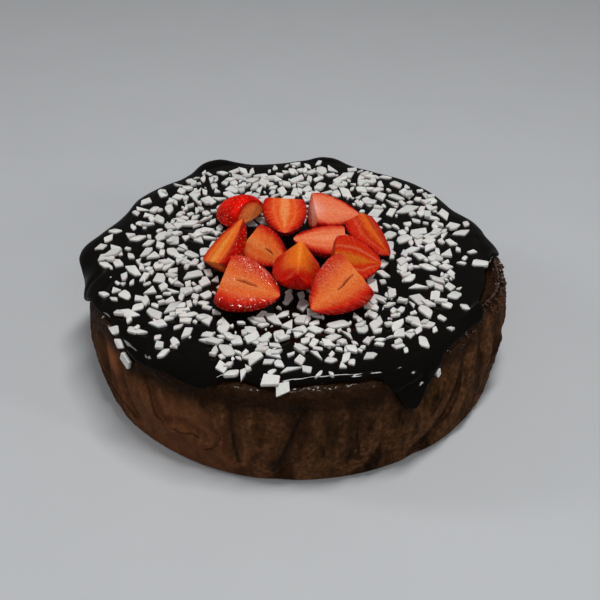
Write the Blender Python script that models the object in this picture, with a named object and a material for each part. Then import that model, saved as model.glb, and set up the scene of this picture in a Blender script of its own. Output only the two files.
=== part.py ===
"""A whole round chocolate cake: a dark poured glaze over a soft brown sponge, flat white chips on the
glaze and a heap of cut strawberries in the middle. One object per piece, in metres, +Z up."""

import math

import bpy
import numpy as np

MM = 0.001

# The sponge, in millimetres. Its foot is a little wider than its top and sits slightly off its centre.
TOP_RADIUS = 117.5
FOOT_RADIUS = 120.4
FOOT_SHIFT = (4.1, 2.7)
SPONGE_TOP = 63.5
EDGE_ROUND = 5.0
FOOT_ROUND = 4.5
BULGE = 4.0
COLUMNS = 90

# Where the middle of the whole object's outline lies, seen from above
CENTRE = (0.75, 3.70)

# Swellings and dents of the rim: angle, millimetres outward, half width in degrees
RIM_LOBES = (
    (188, -3.5, 6), (178, 3.7, 8), (158, -3.6, 7), (140, 1.0, 8), (116, 5.1, 8), (98, -3.7, 8),
    (79, 3.2, 6), (62, -1.5, 8), (30, -3.0, 8), (17, 1.7, 7), (4, 4.4, 7), (354, 4.0, 7), (343, 6.6, 9),
)

# The bare crust that stands above the glaze on one side: middle angle, half width, height
CRUST = (346, 17, 3.6)
CRUST_PEAKS = ((357, 1.8, 4), (346, -1.2, 4), (337, 0.9, 4))

# Creases of the soft side: depth, width, then points as (angle, height)
CREASES = (
    (2.6, 5.0, ((324, 54), (321, 40), (317, 28), (311, 15), (305, 5))),
    (1.8, 4.0, ((219, 48), (221, 40), (222, 25), (224, 13))),
    (1.5, 4.0, ((232, 52), (233, 44), (237, 29))),
    (1.2, 3.2, ((239, 31), (243, 33), (248, 28))),
    (1.2, 4.0, ((257, 57), (257, 40), (256, 18))),
    (1.0, 4.0, ((263, 54), (264, 34))),
    (1.8, 6.0, ((273, 57), (271, 30), (268, 6))),
    (1.3, 5.0, ((287, 52), (288, 36), (286, 18))),
    (1.4, 5.0, ((331, 56), (329, 34), (330, 12))),
    (1.6, 5.0, ((339, 54), (338, 30), (336, 14))),
    (1.4, 5.0, ((347, 56), (346, 38), (348, 18))),
)
BACK_CREASES = 13

# The glaze: thickness on the flat and on the side, and the clearance under it
GLAZE_TOP = 67.8
GLAZE_SIDE = 2.6
CLEARANCE = 0.6
PLAIN_RUN = 4.0

# How far the glaze runs over the edge: angle, extra millimetres, half width in degrees
DRIPS = (
    (190, 12.0, 6), (178, 3.0, 5), (165, 9.0, 6), (140, 14.0, 6), (116, 22.0, 7), (97, 5.0, 6),
    (80, 16.0, 6), (60, 6.0, 6), (40, 10.0, 6), (20, 4.0, 5), (208, -1.5, 4.6), (214, -2.7, 4.6),
    (220, -1.0, 4.6), (226, 1.3, 4.6), (232, 1.8, 4.6), (238, 0.7, 4.6), (244, 1.5, 4.6), (250, 1.8, 4.6),
    (256, -4.7, 4.6), (262, -2.4, 4.6), (268, -1.4, 4.6), (274, -3.1, 4.6), (280, -3.4, 4.6),
    (286, -2.6, 4.6), (293, -2.2, 3.4), (297, 3.5, 3.4), (301, 17.3, 3.4), (305, 7.0, 3.4),
    (309, 3.6, 3.4), (317, -0.6, 3.4), (322, -1.0, 4.6), (328, -0.6, 4.6), (334, 3.0, 4.6),
)
# Where the glaze is thicker at the edge: angle, millimetres, half width in degrees
THICK_LOBES = ((116, 4.5, 7), (79, 2.6, 6), (178, 1.8, 7), (190, 1.2, 5), (303, 1.2, 5))

# Where columns of points stand closer together: angle, how much closer, half width in degrees
CLOSER = ((303, 1.6, 9), (190, 0.8, 8), (116, 0.8, 10), (79, 0.6, 8), (216, 0.9, 6), (331, 1.0, 7), (359, 1.0, 7))

# White chips: how many are drawn, how many of the largest are solid here, and their spread of sizes
CHIPS_DRAWN = 640
CHIPS_SOLID = 180
CHIP_THICK = 1.3
CHIP_SUNK = 0.8
SEED = 41

# Single chips near the front edge: angle, radius, length, width, turn and outward lean in degrees
EDGE_CHIPS = (
    (265.9, 113.8, 10.8, 7.9, -2, 6), (258.8, 110.1, 9.0, 6.2, 95, 3), (255.5, 112.0, 8.6, 5.0, 5, 4),
    (270.9, 106.4, 9.5, 5.4, 0, 2), (275.2, 106.1, 6.8, 5.0, -15, 2), (252.3, 109.4, 7.5, 6.0, 65, 3),
    (264.4, 100.1, 6.0, 4.2, 0, 1), (221.8, 110.8, 7.5, 5.0, -30, 3), (224.6, 108.6, 7.5, 5.0, -35, 3),
    (224.7, 97.5, 8.5, 7.0, 20, 2),
)

# Bare patches among the chips: angle, radius, size, how bare
BARE = (
    (228, 64, 8, 0.9), (230, 98, 10, 0.8), (240, 108, 10, 0.8), (210, 52, 10, 0.8), (62, 78, 8, 0.8),
    (345, 109, 14, 0.9), (328, 108, 14, 0.9), (314, 108, 11, 0.8), (0, 111, 12, 0.8), (160, 72, 6, 0.6),
    (165, 96, 9, 0.7), (197, 110, 12, 0.9), (75, 104, 8, 0.7), (100, 102, 7, 0.6), (325, 62, 9, 0.7),
    (290, 112, 14, 0.9), (280, 104, 9, 0.5), (150, 104, 8, 0.6), (300, 58, 8, 0.5),
    (10, 64, 8, 0.5), (32, 64, 8, 0.4), (50, 65, 8, 0.6), (208, 106, 9, 0.8), (336, 104, 8, 0.7),
    (150, 92, 8, 0.4),
)
FULL = (
    (135, 64, 9, 0.7), (120, 76, 10, 0.5), (76, 73, 9, 0.5), (15, 78, 9, 0.3), (180, 66, 8, 0.5),
    (247, 82, 10, 0.5), (264, 64, 9, 0.7), (330, 86, 9, 0.4), (303, 82, 9, 0.5), (25, 90, 8, 0.3),
    (150, 58, 8, 0.6), (246, 68, 8, 0.7), (68, 84, 9, 0.5), (105, 74, 9, 0.5), (290, 96, 8, 0.4),
    (66, 96, 8, 0.4), (85, 86, 8, 0.4), (168, 56, 7, 0.4),
)
# Small clearings at seeded places between the chips: how many, how wide, how bare
CLEARINGS = (80, 5.0, 0.95)

# Strawberries: name, middle of the stalk end, heading, dip, roll, length, radius, span, bluntness
BERRIES = (
    ("strawberry_front_left", (-35.7, -50.2, 86.5), 345, 11, 27, 32.7, 17.3, 180, 1.9),
    ("strawberry_front_right", (37.5, -46.4, 87.5), 217, 19, -36, 33.6, 16.7, 180, 1.9),
    ("strawberry_centre", (6.6, -22.3, 93.0), 267, 0, -8, 34.5, 21.8, 82, 3.2),
    ("strawberry_right", (25.4, -26.6, 84.6), 4, 13, 35, 26.8, 14.8, 180, 2.4),
    ("strawberry_left", (-24.3, -2.8, 81.1), 320, 9, 34, 29.2, 12.6, 181, 1.9),
    ("strawberry_far_left", (-44.2, -24.6, 79.1), 51, -31, -27, 31.0, 14.1, 180, 1.9),
    ("strawberry_back_left", (-24.2, 26.6, 74.4), 139, 9, 180, 27.5, 15.4, 176, 2.0),
    ("strawberry_back", (-4.0, 36.6, 84.8), 271, 12, -5, 30.4, 13.8, 180, 2.8),
    ("strawberry_back_right", (14.3, 25.0, 85.3), 12, 17, 12, 29.0, 15.5, 184, 1.7),
    ("strawberry_far_right", (41.9, 16.6, 87.2), 299, 21, -5, 33.5, 14.0, 113, 1.9),
    ("strawberry_middle", (32.0, -1.0, 81.4), 182, 2, -9, 30.3, 13.4, 165, 2.2),
)
BERRY_RINGS = 8
BERRY_ARC = 9


def smooth(x, low, high):
    """A soft step from 0 at low to 1 at high."""
    t = np.clip((x - low) / (high - low), 0.0, 1.0)
    return t * t * (3.0 - 2.0 * t)


def bump(theta, centre, half, power=2.4):
    """A rounded bump over angle, 1 at its centre."""
    away = (theta - centre + 180.0) % 360.0 - 180.0
    return np.exp(-np.abs(away / half) ** power)


def swell(theta, rows, power=2.4):
    """The sum of several bumps given as (angle, height, half width)."""
    total = np.zeros_like(theta, dtype=float)
    for centre, height, half in rows:
        total = total + height * bump(theta, centre, half, power)
    return total


def crease_rows():
    """The named creases, and upright ones with seeded places round the unseen back."""
    rng = np.random.default_rng(7)
    rows = list(CREASES)
    for angle in np.linspace(2, 206, BACK_CREASES):
        a = angle + rng.uniform(-5, 5)
        high, low = rng.uniform(44, 56), rng.uniform(8, 30)
        lean = rng.uniform(-4, 4)
        path = ((a, high), (a + 0.5 * lean, 0.5 * (high + low)), (a + lean, low))
        rows.append((rng.uniform(1.0, 2.0), rng.uniform(4.0, 6.0), path))
    return rows


CREASE_ROWS = crease_rows()
rng_waves = np.random.default_rng(5)
WAVES = [
    (int(rng_waves.integers(3, 15)), rng_waves.uniform(0.03, 0.16), rng_waves.uniform(0, 6.3))
    for _ in range(9)
]


def side_relief(theta, z):
    """Millimetres that the side stands out: slow waves less the creases."""
    out = np.zeros(np.broadcast(theta, z).shape)
    for turns, rise, phase in WAVES:
        out = out + 0.28 * np.sin(np.radians(theta) * turns + rise * z + phase)
    for depth, width, path in CREASE_ROWS:
        near = np.full(out.shape, 1e3)
        for (a0, z0), (a1, z1) in zip(path[:-1], path[1:]):
            x0 = ((theta - a0 + 180.0) % 360.0 - 180.0) * 2.05
            y0 = z - z0
            dx, dy = (a1 - a0) * 2.05, z1 - z0
            t = np.clip((x0 * dx + y0 * dy) / (dx * dx + dy * dy), 0.0, 1.0)
            near = np.minimum(near, np.hypot(x0 - t * dx, y0 - t * dy))
        out = out - depth * np.exp(-((near / width) ** 2))
    lip = SPONGE_TOP - EDGE_ROUND - np.maximum(glaze_run(theta) - EDGE_ROUND * math.pi / 2, 0.0)
    return out * smooth(z, 1.0, 9.0) * (1.0 - smooth(z, lip - 9.0, lip - 1.0))


def wall_radius(theta, z):
    """Distance of the sponge's side from the middle, at an angle and height."""
    a = np.radians(theta)
    along = FOOT_SHIFT[0] * np.cos(a) + FOOT_SHIFT[1] * np.sin(a)
    across = FOOT_SHIFT[0] * np.sin(a) - FOOT_SHIFT[1] * np.cos(a)
    foot = along + np.sqrt(FOOT_RADIUS**2 - across**2)
    rise = np.clip(z / SPONGE_TOP, 0.0, 1.0)
    r = foot * (1.0 - rise) + TOP_RADIUS * rise + BULGE * np.sin(math.pi * rise)
    r = r + swell(theta, RIM_LOBES) * smooth(z, 8.0, 60.0)
    return r + side_relief(theta, z)


def crust_rise(theta, share):
    """How far the bare crust stands above the flat top; share is the distance out, 1 at the edge's start."""
    middle, half, height = CRUST
    tall = (height + swell(theta, CRUST_PEAKS)) * bump(theta, middle, half, 4.0)
    return tall * smooth(share, 0.96, 1.0)


def skin(theta, q):
    """A point of the sponge's outside. q runs 0-1 over the top, 1-2 round the edge, 2-3 down the side,
    3-4 round the foot, 4-5 under it. Returns radius, height and the outward tilt in radians."""
    edge = wall_radius(theta, SPONGE_TOP - EDGE_ROUND + 0.0 * theta)
    low = wall_radius(theta, FOOT_ROUND + 0.0 * theta)
    turn = np.clip(q - 1.0, 0.0, 1.0) * math.pi / 2
    under = np.clip(q - 3.0, 0.0, 1.0) * math.pi / 2
    flat = np.clip(q, 0.0, 1.0)
    r = np.where(q <= 1, flat * (edge - EDGE_ROUND), edge - EDGE_ROUND + EDGE_ROUND * np.sin(turn))
    z = SPONGE_TOP - EDGE_ROUND + EDGE_ROUND * np.cos(turn) + crust_rise(theta, flat) * np.cos(turn)
    fall = np.clip(q - 2.0, 0.0, 1.0)
    side_z = (SPONGE_TOP - EDGE_ROUND) * (1.0 - fall) + FOOT_ROUND * fall
    r = np.where(q > 2, wall_radius(theta, side_z), r)
    z = np.where(q > 2, side_z, z)
    r = np.where(q > 3, low - FOOT_ROUND + FOOT_ROUND * np.cos(under), r)
    z = np.where(q > 3, FOOT_ROUND - FOOT_ROUND * np.sin(under), z)
    r = np.where(q > 4, (low - FOOT_ROUND) * (5.0 - q), r)
    return r, z, turn


def past_edge(theta, mm):
    """The skin's q at a distance in millimetres past the edge's start, measured along the surface."""
    flat = wall_radius(theta, SPONGE_TOP - EDGE_ROUND + 0.0 * theta) - EDGE_ROUND
    arc = EDGE_ROUND * math.pi / 2
    side = SPONGE_TOP - EDGE_ROUND - FOOT_ROUND
    return np.where(mm < 0, 1.0 + mm / flat, np.where(mm < arc, 1.0 + mm / arc, 2.0 + (mm - arc) / side))


def lifted(theta, q, lift):
    """Points a lift in millimetres off the skin, as an array ending in x, y, z."""
    r, z, turn = skin(theta, q)
    r = r + lift * np.sin(turn)
    z = z + lift * np.cos(turn)
    a = np.radians(theta)
    return np.stack([r * np.cos(a), r * np.sin(a), z + 0.0 * r], axis=-1)


def glaze_run(theta):
    """Millimetres the glaze runs past the edge's start at each angle; negative where it stops short."""
    theta = np.asarray(theta, dtype=float)
    run = PLAIN_RUN + swell(theta, DRIPS)
    bare = bump(theta, CRUST[0], CRUST[1] - 4.5, 4.0)
    return run * (1.0 - bare) - 6.5 * bare


def columns():
    """Angles of the columns of points, closer together at the drips."""
    fine = np.linspace(0.0, 360.0, 3601)
    close = 1.0 + swell(fine, CLOSER)
    total = np.concatenate([[0.0], np.cumsum(0.5 * (close[1:] + close[:-1]))])
    steps = np.linspace(0.0, total[-1], COLUMNS + 1)[:-1]
    return np.interp(steps, total, fine)


def new_object(name, points, faces, colour, rough, sharp=40.0):
    """A mesh object from points in millimetres and faces, closed and facing out, with its own material."""
    mesh = bpy.data.meshes.new(name)
    shift = np.array([CENTRE[0], CENTRE[1], 0.0])
    mesh.from_pydata([tuple(p) for p in (np.asarray(points) - shift) * MM], [], faces)
    mesh.validate()
    mesh.update()
    obj = bpy.data.objects.new(name, mesh)
    bpy.context.scene.collection.objects.link(obj)
    material = bpy.data.materials.new(name + "_look")
    material.use_nodes = True
    shader = material.node_tree.nodes["Principled BSDF"]
    shader.inputs["Base Color"].default_value = (*colour, 1.0)
    shader.inputs["Roughness"].default_value = rough
    mesh.materials.append(material)
    mesh.shade_smooth()
    mesh.set_sharp_from_angle(angle=math.radians(sharp))
    return obj


def closed_rows(rows, first, last):
    """Faces of rings of equal length, wound to face out, each end closed on one point."""
    count, n = rows.shape[:2]
    points = [first, *rows.reshape(-1, 3), last]
    faces = []
    for j in range(n):
        k = (j + 1) % n
        faces.append((0, 1 + j, 1 + k))
        for i in range(count - 1):
            a, b = 1 + i * n, 1 + (i + 1) * n
            faces.append((a + j, b + j, b + k, a + k))
        faces.append((1 + (count - 1) * n + j, 1 + count * n, 1 + (count - 1) * n + k))
    return np.array(points), faces


def make_cake(theta):
    """The sponge with its crust, creases and rounded foot."""
    levels = np.array(
        [0.45, 0.88, 0.958, 0.979, 1.0, 1.33, 1.67, 2.0, 2.1, 2.2, 2.31, 2.42, 2.53, 2.64, 2.76, 2.88, 3.0,
         3.5, 4.0]
    )
    rows = lifted(theta[None, :], levels[:, None], 0.0 * theta[None, :])
    points, faces = closed_rows(rows, (0.0, 0.0, SPONGE_TOP), (0.0, 0.0, 0.0))
    return new_object("cake", points, faces, (0.12, 0.035, 0.012), 0.4, 50.0)


def run_stations(theta, count):
    """Distances past the edge's start of the glaze's rows, packed over the rounding, one row per station."""
    run = glaze_run(theta)
    start = np.minimum(run, 0.0) - 3.0
    arc = EDGE_ROUND * math.pi / 2
    fixed = np.array([-3.0, 0.0, 2.6, 5.2, arc])
    rest = np.array([0.5, 1.0]) if count == 7 else np.array([0.28, 0.55, 0.8, 0.94, 1.0])
    long_way = np.concatenate([np.repeat(fixed[:, None], len(run), 1), arc + (run - arc) * rest[:, None]])
    short = np.concatenate([fixed, arc + (10.0 - arc) * rest])
    squeezed = start + (run - start) * ((short + 3.0) / 13.0)[:, None]
    return np.where(run >= 10.0, long_way, squeezed), run


def glaze_lift(theta, mm, run):
    """Height of the glaze's outside above the skin, thinning from the flat to a rounded lower lip."""
    flat = GLAZE_TOP - SPONGE_TOP
    side = GLAZE_SIDE + CLEARANCE + swell(theta, THICK_LOBES) * smooth(mm, -4.0, 3.0)
    thick = flat + (side - flat) * smooth(mm, -5.0, 5.0)
    lip = np.clip((run - mm) / 3.0, 0.0, 1.0)
    low = under_lift(mm) + 0.5
    return low + (thick + 0.3 - low) * np.sqrt(lip * (2.0 - lip))


def under_lift(mm):
    """Height of the glaze's underside above the skin, a little more round the sponge's edge."""
    return CLEARANCE + 0.8 * smooth(mm, -3.0, 1.5) * (1.0 - smooth(mm, 8.5, 13.0))


def make_glaze(theta):
    """The poured glaze: an outside and an inside surface over the sponge, joined at the lower lip."""
    outer_mm, run = run_stations(theta, 10)
    inner_mm, _ = run_stations(theta, 7)
    flat_q = past_edge(theta, outer_mm[0])
    top = [lifted(theta, flat_q * f, 0.0 * theta + GLAZE_TOP - SPONGE_TOP) for f in (0.35, 0.65, 0.88)]
    outer = [lifted(theta, past_edge(theta, m), glaze_lift(theta, m, run)) for m in outer_mm]
    inner = [lifted(theta, past_edge(theta, m), under_lift(m)) for m in inner_mm[::-1]]
    inner.append(lifted(theta, flat_q * 0.5, 0.0 * theta + CLEARANCE))
    rows = np.array(top + outer + inner)
    points, faces = closed_rows(rows, (0.0, 0.0, GLAZE_TOP), (0.0, 0.0, SPONGE_TOP + CLEARANCE))
    return new_object("glaze", points, faces, (0.012, 0.008, 0.006), 0.12, 50.0)


def berry_outline(u, blunt):
    """A strawberry's radius along its length as a share of the widest, u = 0 at the stalk end."""
    grow = 0.86 + 0.14 * np.sin(math.pi / 2 * np.clip(u / 0.28, 0.0, 1.0))
    return grow * np.clip(1.0 - np.clip((u - 0.05) / 0.95, 0.0, 1.0) ** blunt, 0.0, None) ** 0.62


def turned(heading, dip, roll):
    """The rotation of a strawberry piece: roll about its core, then dip of the tip, then heading."""
    h, d, r = np.radians([heading, dip, roll])
    about_z = np.array([[np.cos(h), -np.sin(h), 0], [np.sin(h), np.cos(h), 0], [0, 0, 1]])
    about_y = np.array([[np.cos(d), 0, np.sin(d)], [0, 1, 0], [-np.sin(d), 0, np.cos(d)]])
    about_x = np.array([[1, 0, 0], [0, np.cos(r), -np.sin(r)], [0, np.sin(r), np.cos(r)]])
    return about_z @ about_y @ about_x


def make_berry(name, at, heading, dip, roll, length, radius, span, blunt):
    """One cut piece of strawberry: skin on the round side, flat cuts from the core, a flat stalk end."""
    u = np.sin(np.linspace(0.0, math.pi / 2, BERRY_RINGS))
    half = math.radians(span) / 2
    arc = np.linspace(-math.pi / 2 - half, -math.pi / 2 + half, BERRY_ARC)
    r = radius * berry_outline(u[:-1], blunt)
    rings = len(r)
    along = np.repeat(length * u[:-1, None], BERRY_ARC, 1)
    ring = np.stack([along, r[:, None] * np.cos(arc), r[:, None] * np.sin(arc)], -1)
    core = np.stack([length * u[:-1], 0 * r, 0 * r], -1)
    points = np.vstack([ring.reshape(-1, 3), core, [[length, 0.0, 0.0]]])
    c, tip = rings * BERRY_ARC, rings * BERRY_ARC + rings
    faces = []
    for j in range(BERRY_ARC - 1):
        faces.append((c, j, j + 1))
        for i in range(rings - 1):
            a, b = i * BERRY_ARC + j, (i + 1) * BERRY_ARC + j
            faces.append((a, b, b + 1, a + 1))
        faces.append(((rings - 1) * BERRY_ARC + j, tip, (rings - 1) * BERRY_ARC + j + 1))
    for i in range(rings - 1):
        first, last = i * BERRY_ARC, i * BERRY_ARC + BERRY_ARC - 1
        faces.append((c + i, c + i + 1, first + BERRY_ARC, first))
        faces.append((c + i, last, last + BERRY_ARC, c + i + 1))
    faces.append((c + rings - 1, tip, (rings - 1) * BERRY_ARC))
    faces.append((c + rings - 1, (rings - 1) * BERRY_ARC + BERRY_ARC - 1, tip))
    placed = points @ turned(heading, dip, roll).T + np.array(at)
    faces = [face[::-1] for face in faces]
    return new_object(name, placed, faces, (0.55, 0.05, 0.02), 0.25, 35.0)


def berry_depth(points, at, heading, dip, roll, length, radius, span, blunt):
    """How deep points lie inside a strawberry piece, in millimetres, negative outside."""
    local = (points - np.array(at)) @ turned(heading, dip, roll)
    along = local[..., 0]
    off = np.hypot(local[..., 1], local[..., 2])
    skin_gap = (radius * berry_outline(np.clip(along / length, 0, 1), blunt) - off) * 0.85
    skin_gap = np.where(along > length, length - along - 0.3 * off, skin_gap)
    away = math.radians(span) / 2 - np.abs(np.arctan2(local[..., 1], -local[..., 2]))
    cut_gap = off * np.sin(np.clip(away, -math.pi / 2, math.pi / 2))
    return np.minimum(np.minimum(along, skin_gap), cut_gap)


def chip_patches():
    """Full and bare patches as arrays of x, y, size and strength; the bare ones include seeded clearings."""
    rng = np.random.default_rng(23)
    count, size, strength = CLEARINGS
    radius, angle = np.sqrt(rng.uniform(44.0**2, 112.0**2, count)), rng.uniform(0.0, 360.0, count)
    seeded = np.stack([angle, radius, size * rng.uniform(0.7, 1.4, count), np.full(count, strength)], -1)
    sets = []
    for rows in (np.array(FULL), np.vstack([BARE, seeded])):
        a = np.radians(rows[:, 0])
        sets.append(np.stack([rows[:, 1] * np.cos(a), rows[:, 1] * np.sin(a), rows[:, 2], rows[:, 3]]))
    return sets


def chip_share(x, y, patches):
    """The share of the glaze that chips hide at a spot: a broad ring with bare and full patches."""
    r = math.hypot(x, y)
    share = 0.9 * smooth(r, 34.0, 50.0) * (1.0 - 0.5 * smooth(r, 92.0, 106.0))
    share = share * (1.0 - smooth(r, 109.0, 117.0))
    full, bare = patches
    share = share + np.sum(full[3] * np.exp(-((x - full[0]) ** 2 + (y - full[1]) ** 2) / full[2] ** 2))
    return share * np.prod(1.0 - bare[3] * np.exp(-((x - bare[0]) ** 2 + (y - bare[1]) ** 2) / bare[2] ** 2))


def scatter_chips():
    """Places every chip, largest first. Returns rows of x, y, length, width, turn, layer, lean, lean way."""
    rng = np.random.default_rng(SEED)
    length = np.sort(np.clip(rng.lognormal(math.log(6.8), 0.3, CHIPS_DRAWN), 3.2, 12.5))[::-1]
    patches = chip_patches()
    placed = []
    spots, reach, layers = np.zeros((0, 2)), np.zeros(0), np.zeros(0)
    for angle, radius, long, wide, turn, lean in EDGE_CHIPS:
        a, t = math.radians(angle), math.radians(turn)
        middle = np.array([radius * math.cos(a), radius * math.sin(a)])
        side = 0.5 * (long - wide) * np.array([math.cos(t), math.sin(t)])
        spots = np.vstack([spots, middle - side, middle, middle + side])
        reach = np.concatenate([reach, np.full(3, 0.5 * wide)])
        layers = np.concatenate([layers, np.zeros(3)])
        placed.append((middle[0], middle[1], long, wide, t, 0, lean, a))
    for long in length:
        wide = float(np.clip(long * rng.uniform(0.48, 0.84), 2.4, 7.0))
        for attempt in range(60):
            r, a = math.sqrt(rng.uniform(36.0**2, 117.0**2)), rng.uniform(0.0, 2 * math.pi)
            turn, keep = rng.uniform(0.0, math.pi), rng.uniform(0.0, 1.0)
            x, y = r * math.cos(a), r * math.sin(a)
            if keep > chip_share(x, y, patches):
                continue
            inner = wall_radius(math.degrees(a) % 360.0, SPONGE_TOP - EDGE_ROUND) - 4.0
            stop = inner + min(0.0, float(glaze_run(np.array([math.degrees(a)]))[0]))
            if r + 0.5 * long > stop:
                continue
            side = 0.5 * (long - wide)
            half_way = np.array([side * math.cos(turn), side * math.sin(turn)])
            ends = np.array([[x, y]]) + np.outer([-1.0, 0.0, 1.0], half_way)
            top = 1 if attempt >= 12 and rng.uniform() < 0.5 else 0
            gap = np.linalg.norm(spots[:, None] - ends[None], axis=2).min(axis=1) - reach - 0.5 * wide
            same = gap[layers == top]
            if len(same) and same.min() < -0.45:
                continue
            if top and (gap.min() > -0.8 or (gap < -0.3).sum() > 9):
                continue
            around = 0.5 * wide * np.array([[1.0, 0.0], [0.0, 1.0], [-1.0, 0.0], [0.0, -1.0]])
            body = np.concatenate([ends + step for step in around])
            up = GLAZE_TOP + (2.6 if top == 0 else 4.4)
            tall = np.concatenate([np.c_[body, np.full(len(body), h)] for h in (GLAZE_TOP, up)])
            if max(float(berry_depth(tall, *row[1:]).max()) for row in BERRIES) > -0.6:
                continue
            spots = np.vstack([spots, ends])
            reach = np.concatenate([reach, np.full(3, 0.5 * wide)])
            layers = np.concatenate([layers, np.full(3, top)])
            lean, way = rng.uniform(0, 5 + 9 * top), rng.uniform(0, 6.3)
            placed.append((x, y, long, wide, turn, top, lean, way))
            break
    return np.array(placed)


def chip_corners(index, long, wide):
    """The uneven outline of a broken flake: a skewed oblong, many with a corner broken off or missing."""
    rng = np.random.default_rng(1000 + index)
    corners = np.array([[-1.0, -1.0], [1.0, -1.0], [1.0, 1.0], [-1.0, 1.0]]) * rng.uniform(0.6, 1.1, (4, 2))
    corners = 0.5 * np.array([long, wide]) * corners
    corners[:, 0] += rng.uniform(-0.2, 0.2) * long * np.array([-1.0, -1.0, 1.0, 1.0])
    k = int(rng.integers(0, 4))
    way = rng.uniform()
    if way < 0.22:
        corners = np.delete(corners, k, axis=0)
    elif way < 0.65:
        before = corners[k] + rng.uniform(0.15, 0.5) * (corners[k - 1] - corners[k])
        after = corners[k] + rng.uniform(0.15, 0.5) * (corners[(k + 1) % 4] - corners[k])
        corners = np.vstack([corners[:k], before, after, corners[k + 1:]])
    return corners


def chip_frame(chip):
    """Middle, along, across and upward directions of a chip lying on the flat glaze."""
    x, y, _, _, turn, layer, lean, way = chip
    lean = math.radians(lean)
    up = np.array([math.sin(lean) * math.cos(way), math.sin(lean) * math.sin(way), math.cos(lean)])
    along = np.array([math.cos(turn), math.sin(turn), 0.0])
    across = np.cross(up, along)
    across = across / np.linalg.norm(across)
    return np.array([x, y, GLAZE_TOP + 1.3 * layer]), np.cross(across, up), across, up


def chip_solid(corners, frame, low, high):
    """A flat chip as points and faces, its upper outline a little smaller than its lower one."""
    middle, along, across, up = frame
    n = len(corners)
    bottom = middle + corners[:, :1] * along + corners[:, 1:] * across + low * up
    top = middle + 0.9 * corners[:, :1] * along + 0.9 * corners[:, 1:] * across + high * up
    faces = [tuple(range(n))[::-1], tuple(range(n, 2 * n))]
    faces += [(i, (i + 1) % n, n + (i + 1) % n, n + i) for i in range(n)]
    return np.vstack([bottom, top]), faces


def fuse_chips(glaze):
    """Fuses the largest chips to the glaze with one union, then drops their own objects."""
    group = bpy.data.collections.new("chips")
    bpy.context.scene.collection.children.link(group)
    chips = scatter_chips()
    flat = [c for c in enumerate(chips) if c[1][5] == 0][:CHIPS_SOLID]
    solids = [chip_solid(chip_corners(i, c[2], c[3]), chip_frame(c), -CHIP_SUNK, CHIP_THICK) for i, c in flat]
    for i, (points, faces) in enumerate(solids):
        obj = new_object("chip_%03d" % i, points, faces, (0.75, 0.74, 0.7), 0.5)
        bpy.context.scene.collection.objects.unlink(obj)
        group.objects.link(obj)
    union = glaze.modifiers.new("chips", "BOOLEAN")
    union.operation = "UNION"
    union.operand_type = "COLLECTION"
    union.collection = group
    union.solver = "MANIFOLD"
    bpy.context.view_layer.objects.active = glaze
    glaze.select_set(True)
    bpy.ops.object.modifier_apply(modifier=union.name)
    for obj in list(group.objects):
        bpy.data.objects.remove(obj)
    bpy.data.collections.remove(group)
    glaze.data.set_sharp_from_angle(angle=math.radians(30))


def main():
    """Clears the scene and builds every piece."""
    for obj in list(bpy.data.objects):
        bpy.data.objects.remove(obj)
    theta = columns()
    make_cake(theta)
    glaze = make_glaze(theta)
    for row in BERRIES:
        make_berry(*row)
    fuse_chips(glaze)


main()
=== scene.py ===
"""The looks of a whole round chocolate cake: moist creased sponge, dark poured glaze, flat white chips and
a heap of cut strawberries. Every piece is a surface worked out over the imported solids."""

import itertools
import math

import bpy
import numpy as np
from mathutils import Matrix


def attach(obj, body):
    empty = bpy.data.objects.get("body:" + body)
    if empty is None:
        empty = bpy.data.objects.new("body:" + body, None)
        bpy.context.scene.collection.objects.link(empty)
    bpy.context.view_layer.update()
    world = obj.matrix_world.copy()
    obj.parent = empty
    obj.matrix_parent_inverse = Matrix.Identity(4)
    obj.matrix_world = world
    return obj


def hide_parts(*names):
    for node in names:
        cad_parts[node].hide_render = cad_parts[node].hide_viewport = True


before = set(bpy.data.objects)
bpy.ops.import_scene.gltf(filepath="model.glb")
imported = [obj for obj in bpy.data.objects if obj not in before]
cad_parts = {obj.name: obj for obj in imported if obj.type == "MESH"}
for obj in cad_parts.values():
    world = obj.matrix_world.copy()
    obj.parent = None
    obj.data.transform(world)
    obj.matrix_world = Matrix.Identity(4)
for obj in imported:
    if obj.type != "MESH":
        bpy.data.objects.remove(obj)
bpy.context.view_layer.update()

bl_info = {
    "name": "Glazed Chocolate Cake",
    "version": (1, 0, 0),
    "blender": (4, 5, 0),
    "location": "3D View > Sidebar > Cake",
    "description": "Builds a glazed chocolate cake with white chips and cut strawberries",
    "category": "Add Mesh",
}

MM = 0.001
# Millimetres that a degree takes up round the side
DEGREE_MM = 2.05
# Columns of the sponge and of the glaze, and of a strawberry's cut and skin
SPONGE_COLUMNS = 640
GLAZE_COLUMNS = 640
CUT_COLUMNS = 26
SKIN_COLUMNS = 58

# Middle of the whole object's outline, in millimetres from the middle of the cake's top
CENTRE = (0.75, 3.70)
# How far the foot sits off the middle of the top, and how much the side swells half way up
FOOT_SHIFT = (4.1, 2.7)
BULGE = 4.0

# Swellings and dents of the rim: angle, millimetres outward, half width in degrees
RIM_LOBES = (
    (188, -3.5, 6), (178, 3.7, 8), (158, -3.6, 7), (140, 1.0, 8), (116, 5.1, 8), (98, -3.7, 8),
    (79, 3.2, 6), (62, -1.5, 8), (30, -3.0, 8), (17, 1.7, 7), (4, 4.4, 7), (354, 4.0, 7), (343, 6.6, 9),
)

# The bare crust that stands above the glaze on one side: middle angle, half width, height
CRUST = (346, 17, 3.6)
# Its peaks and dips: angle, height, half width
CRUST_PEAKS = ((357, 1.8, 4), (346, -1.2, 4), (337, 0.9, 4))

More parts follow.
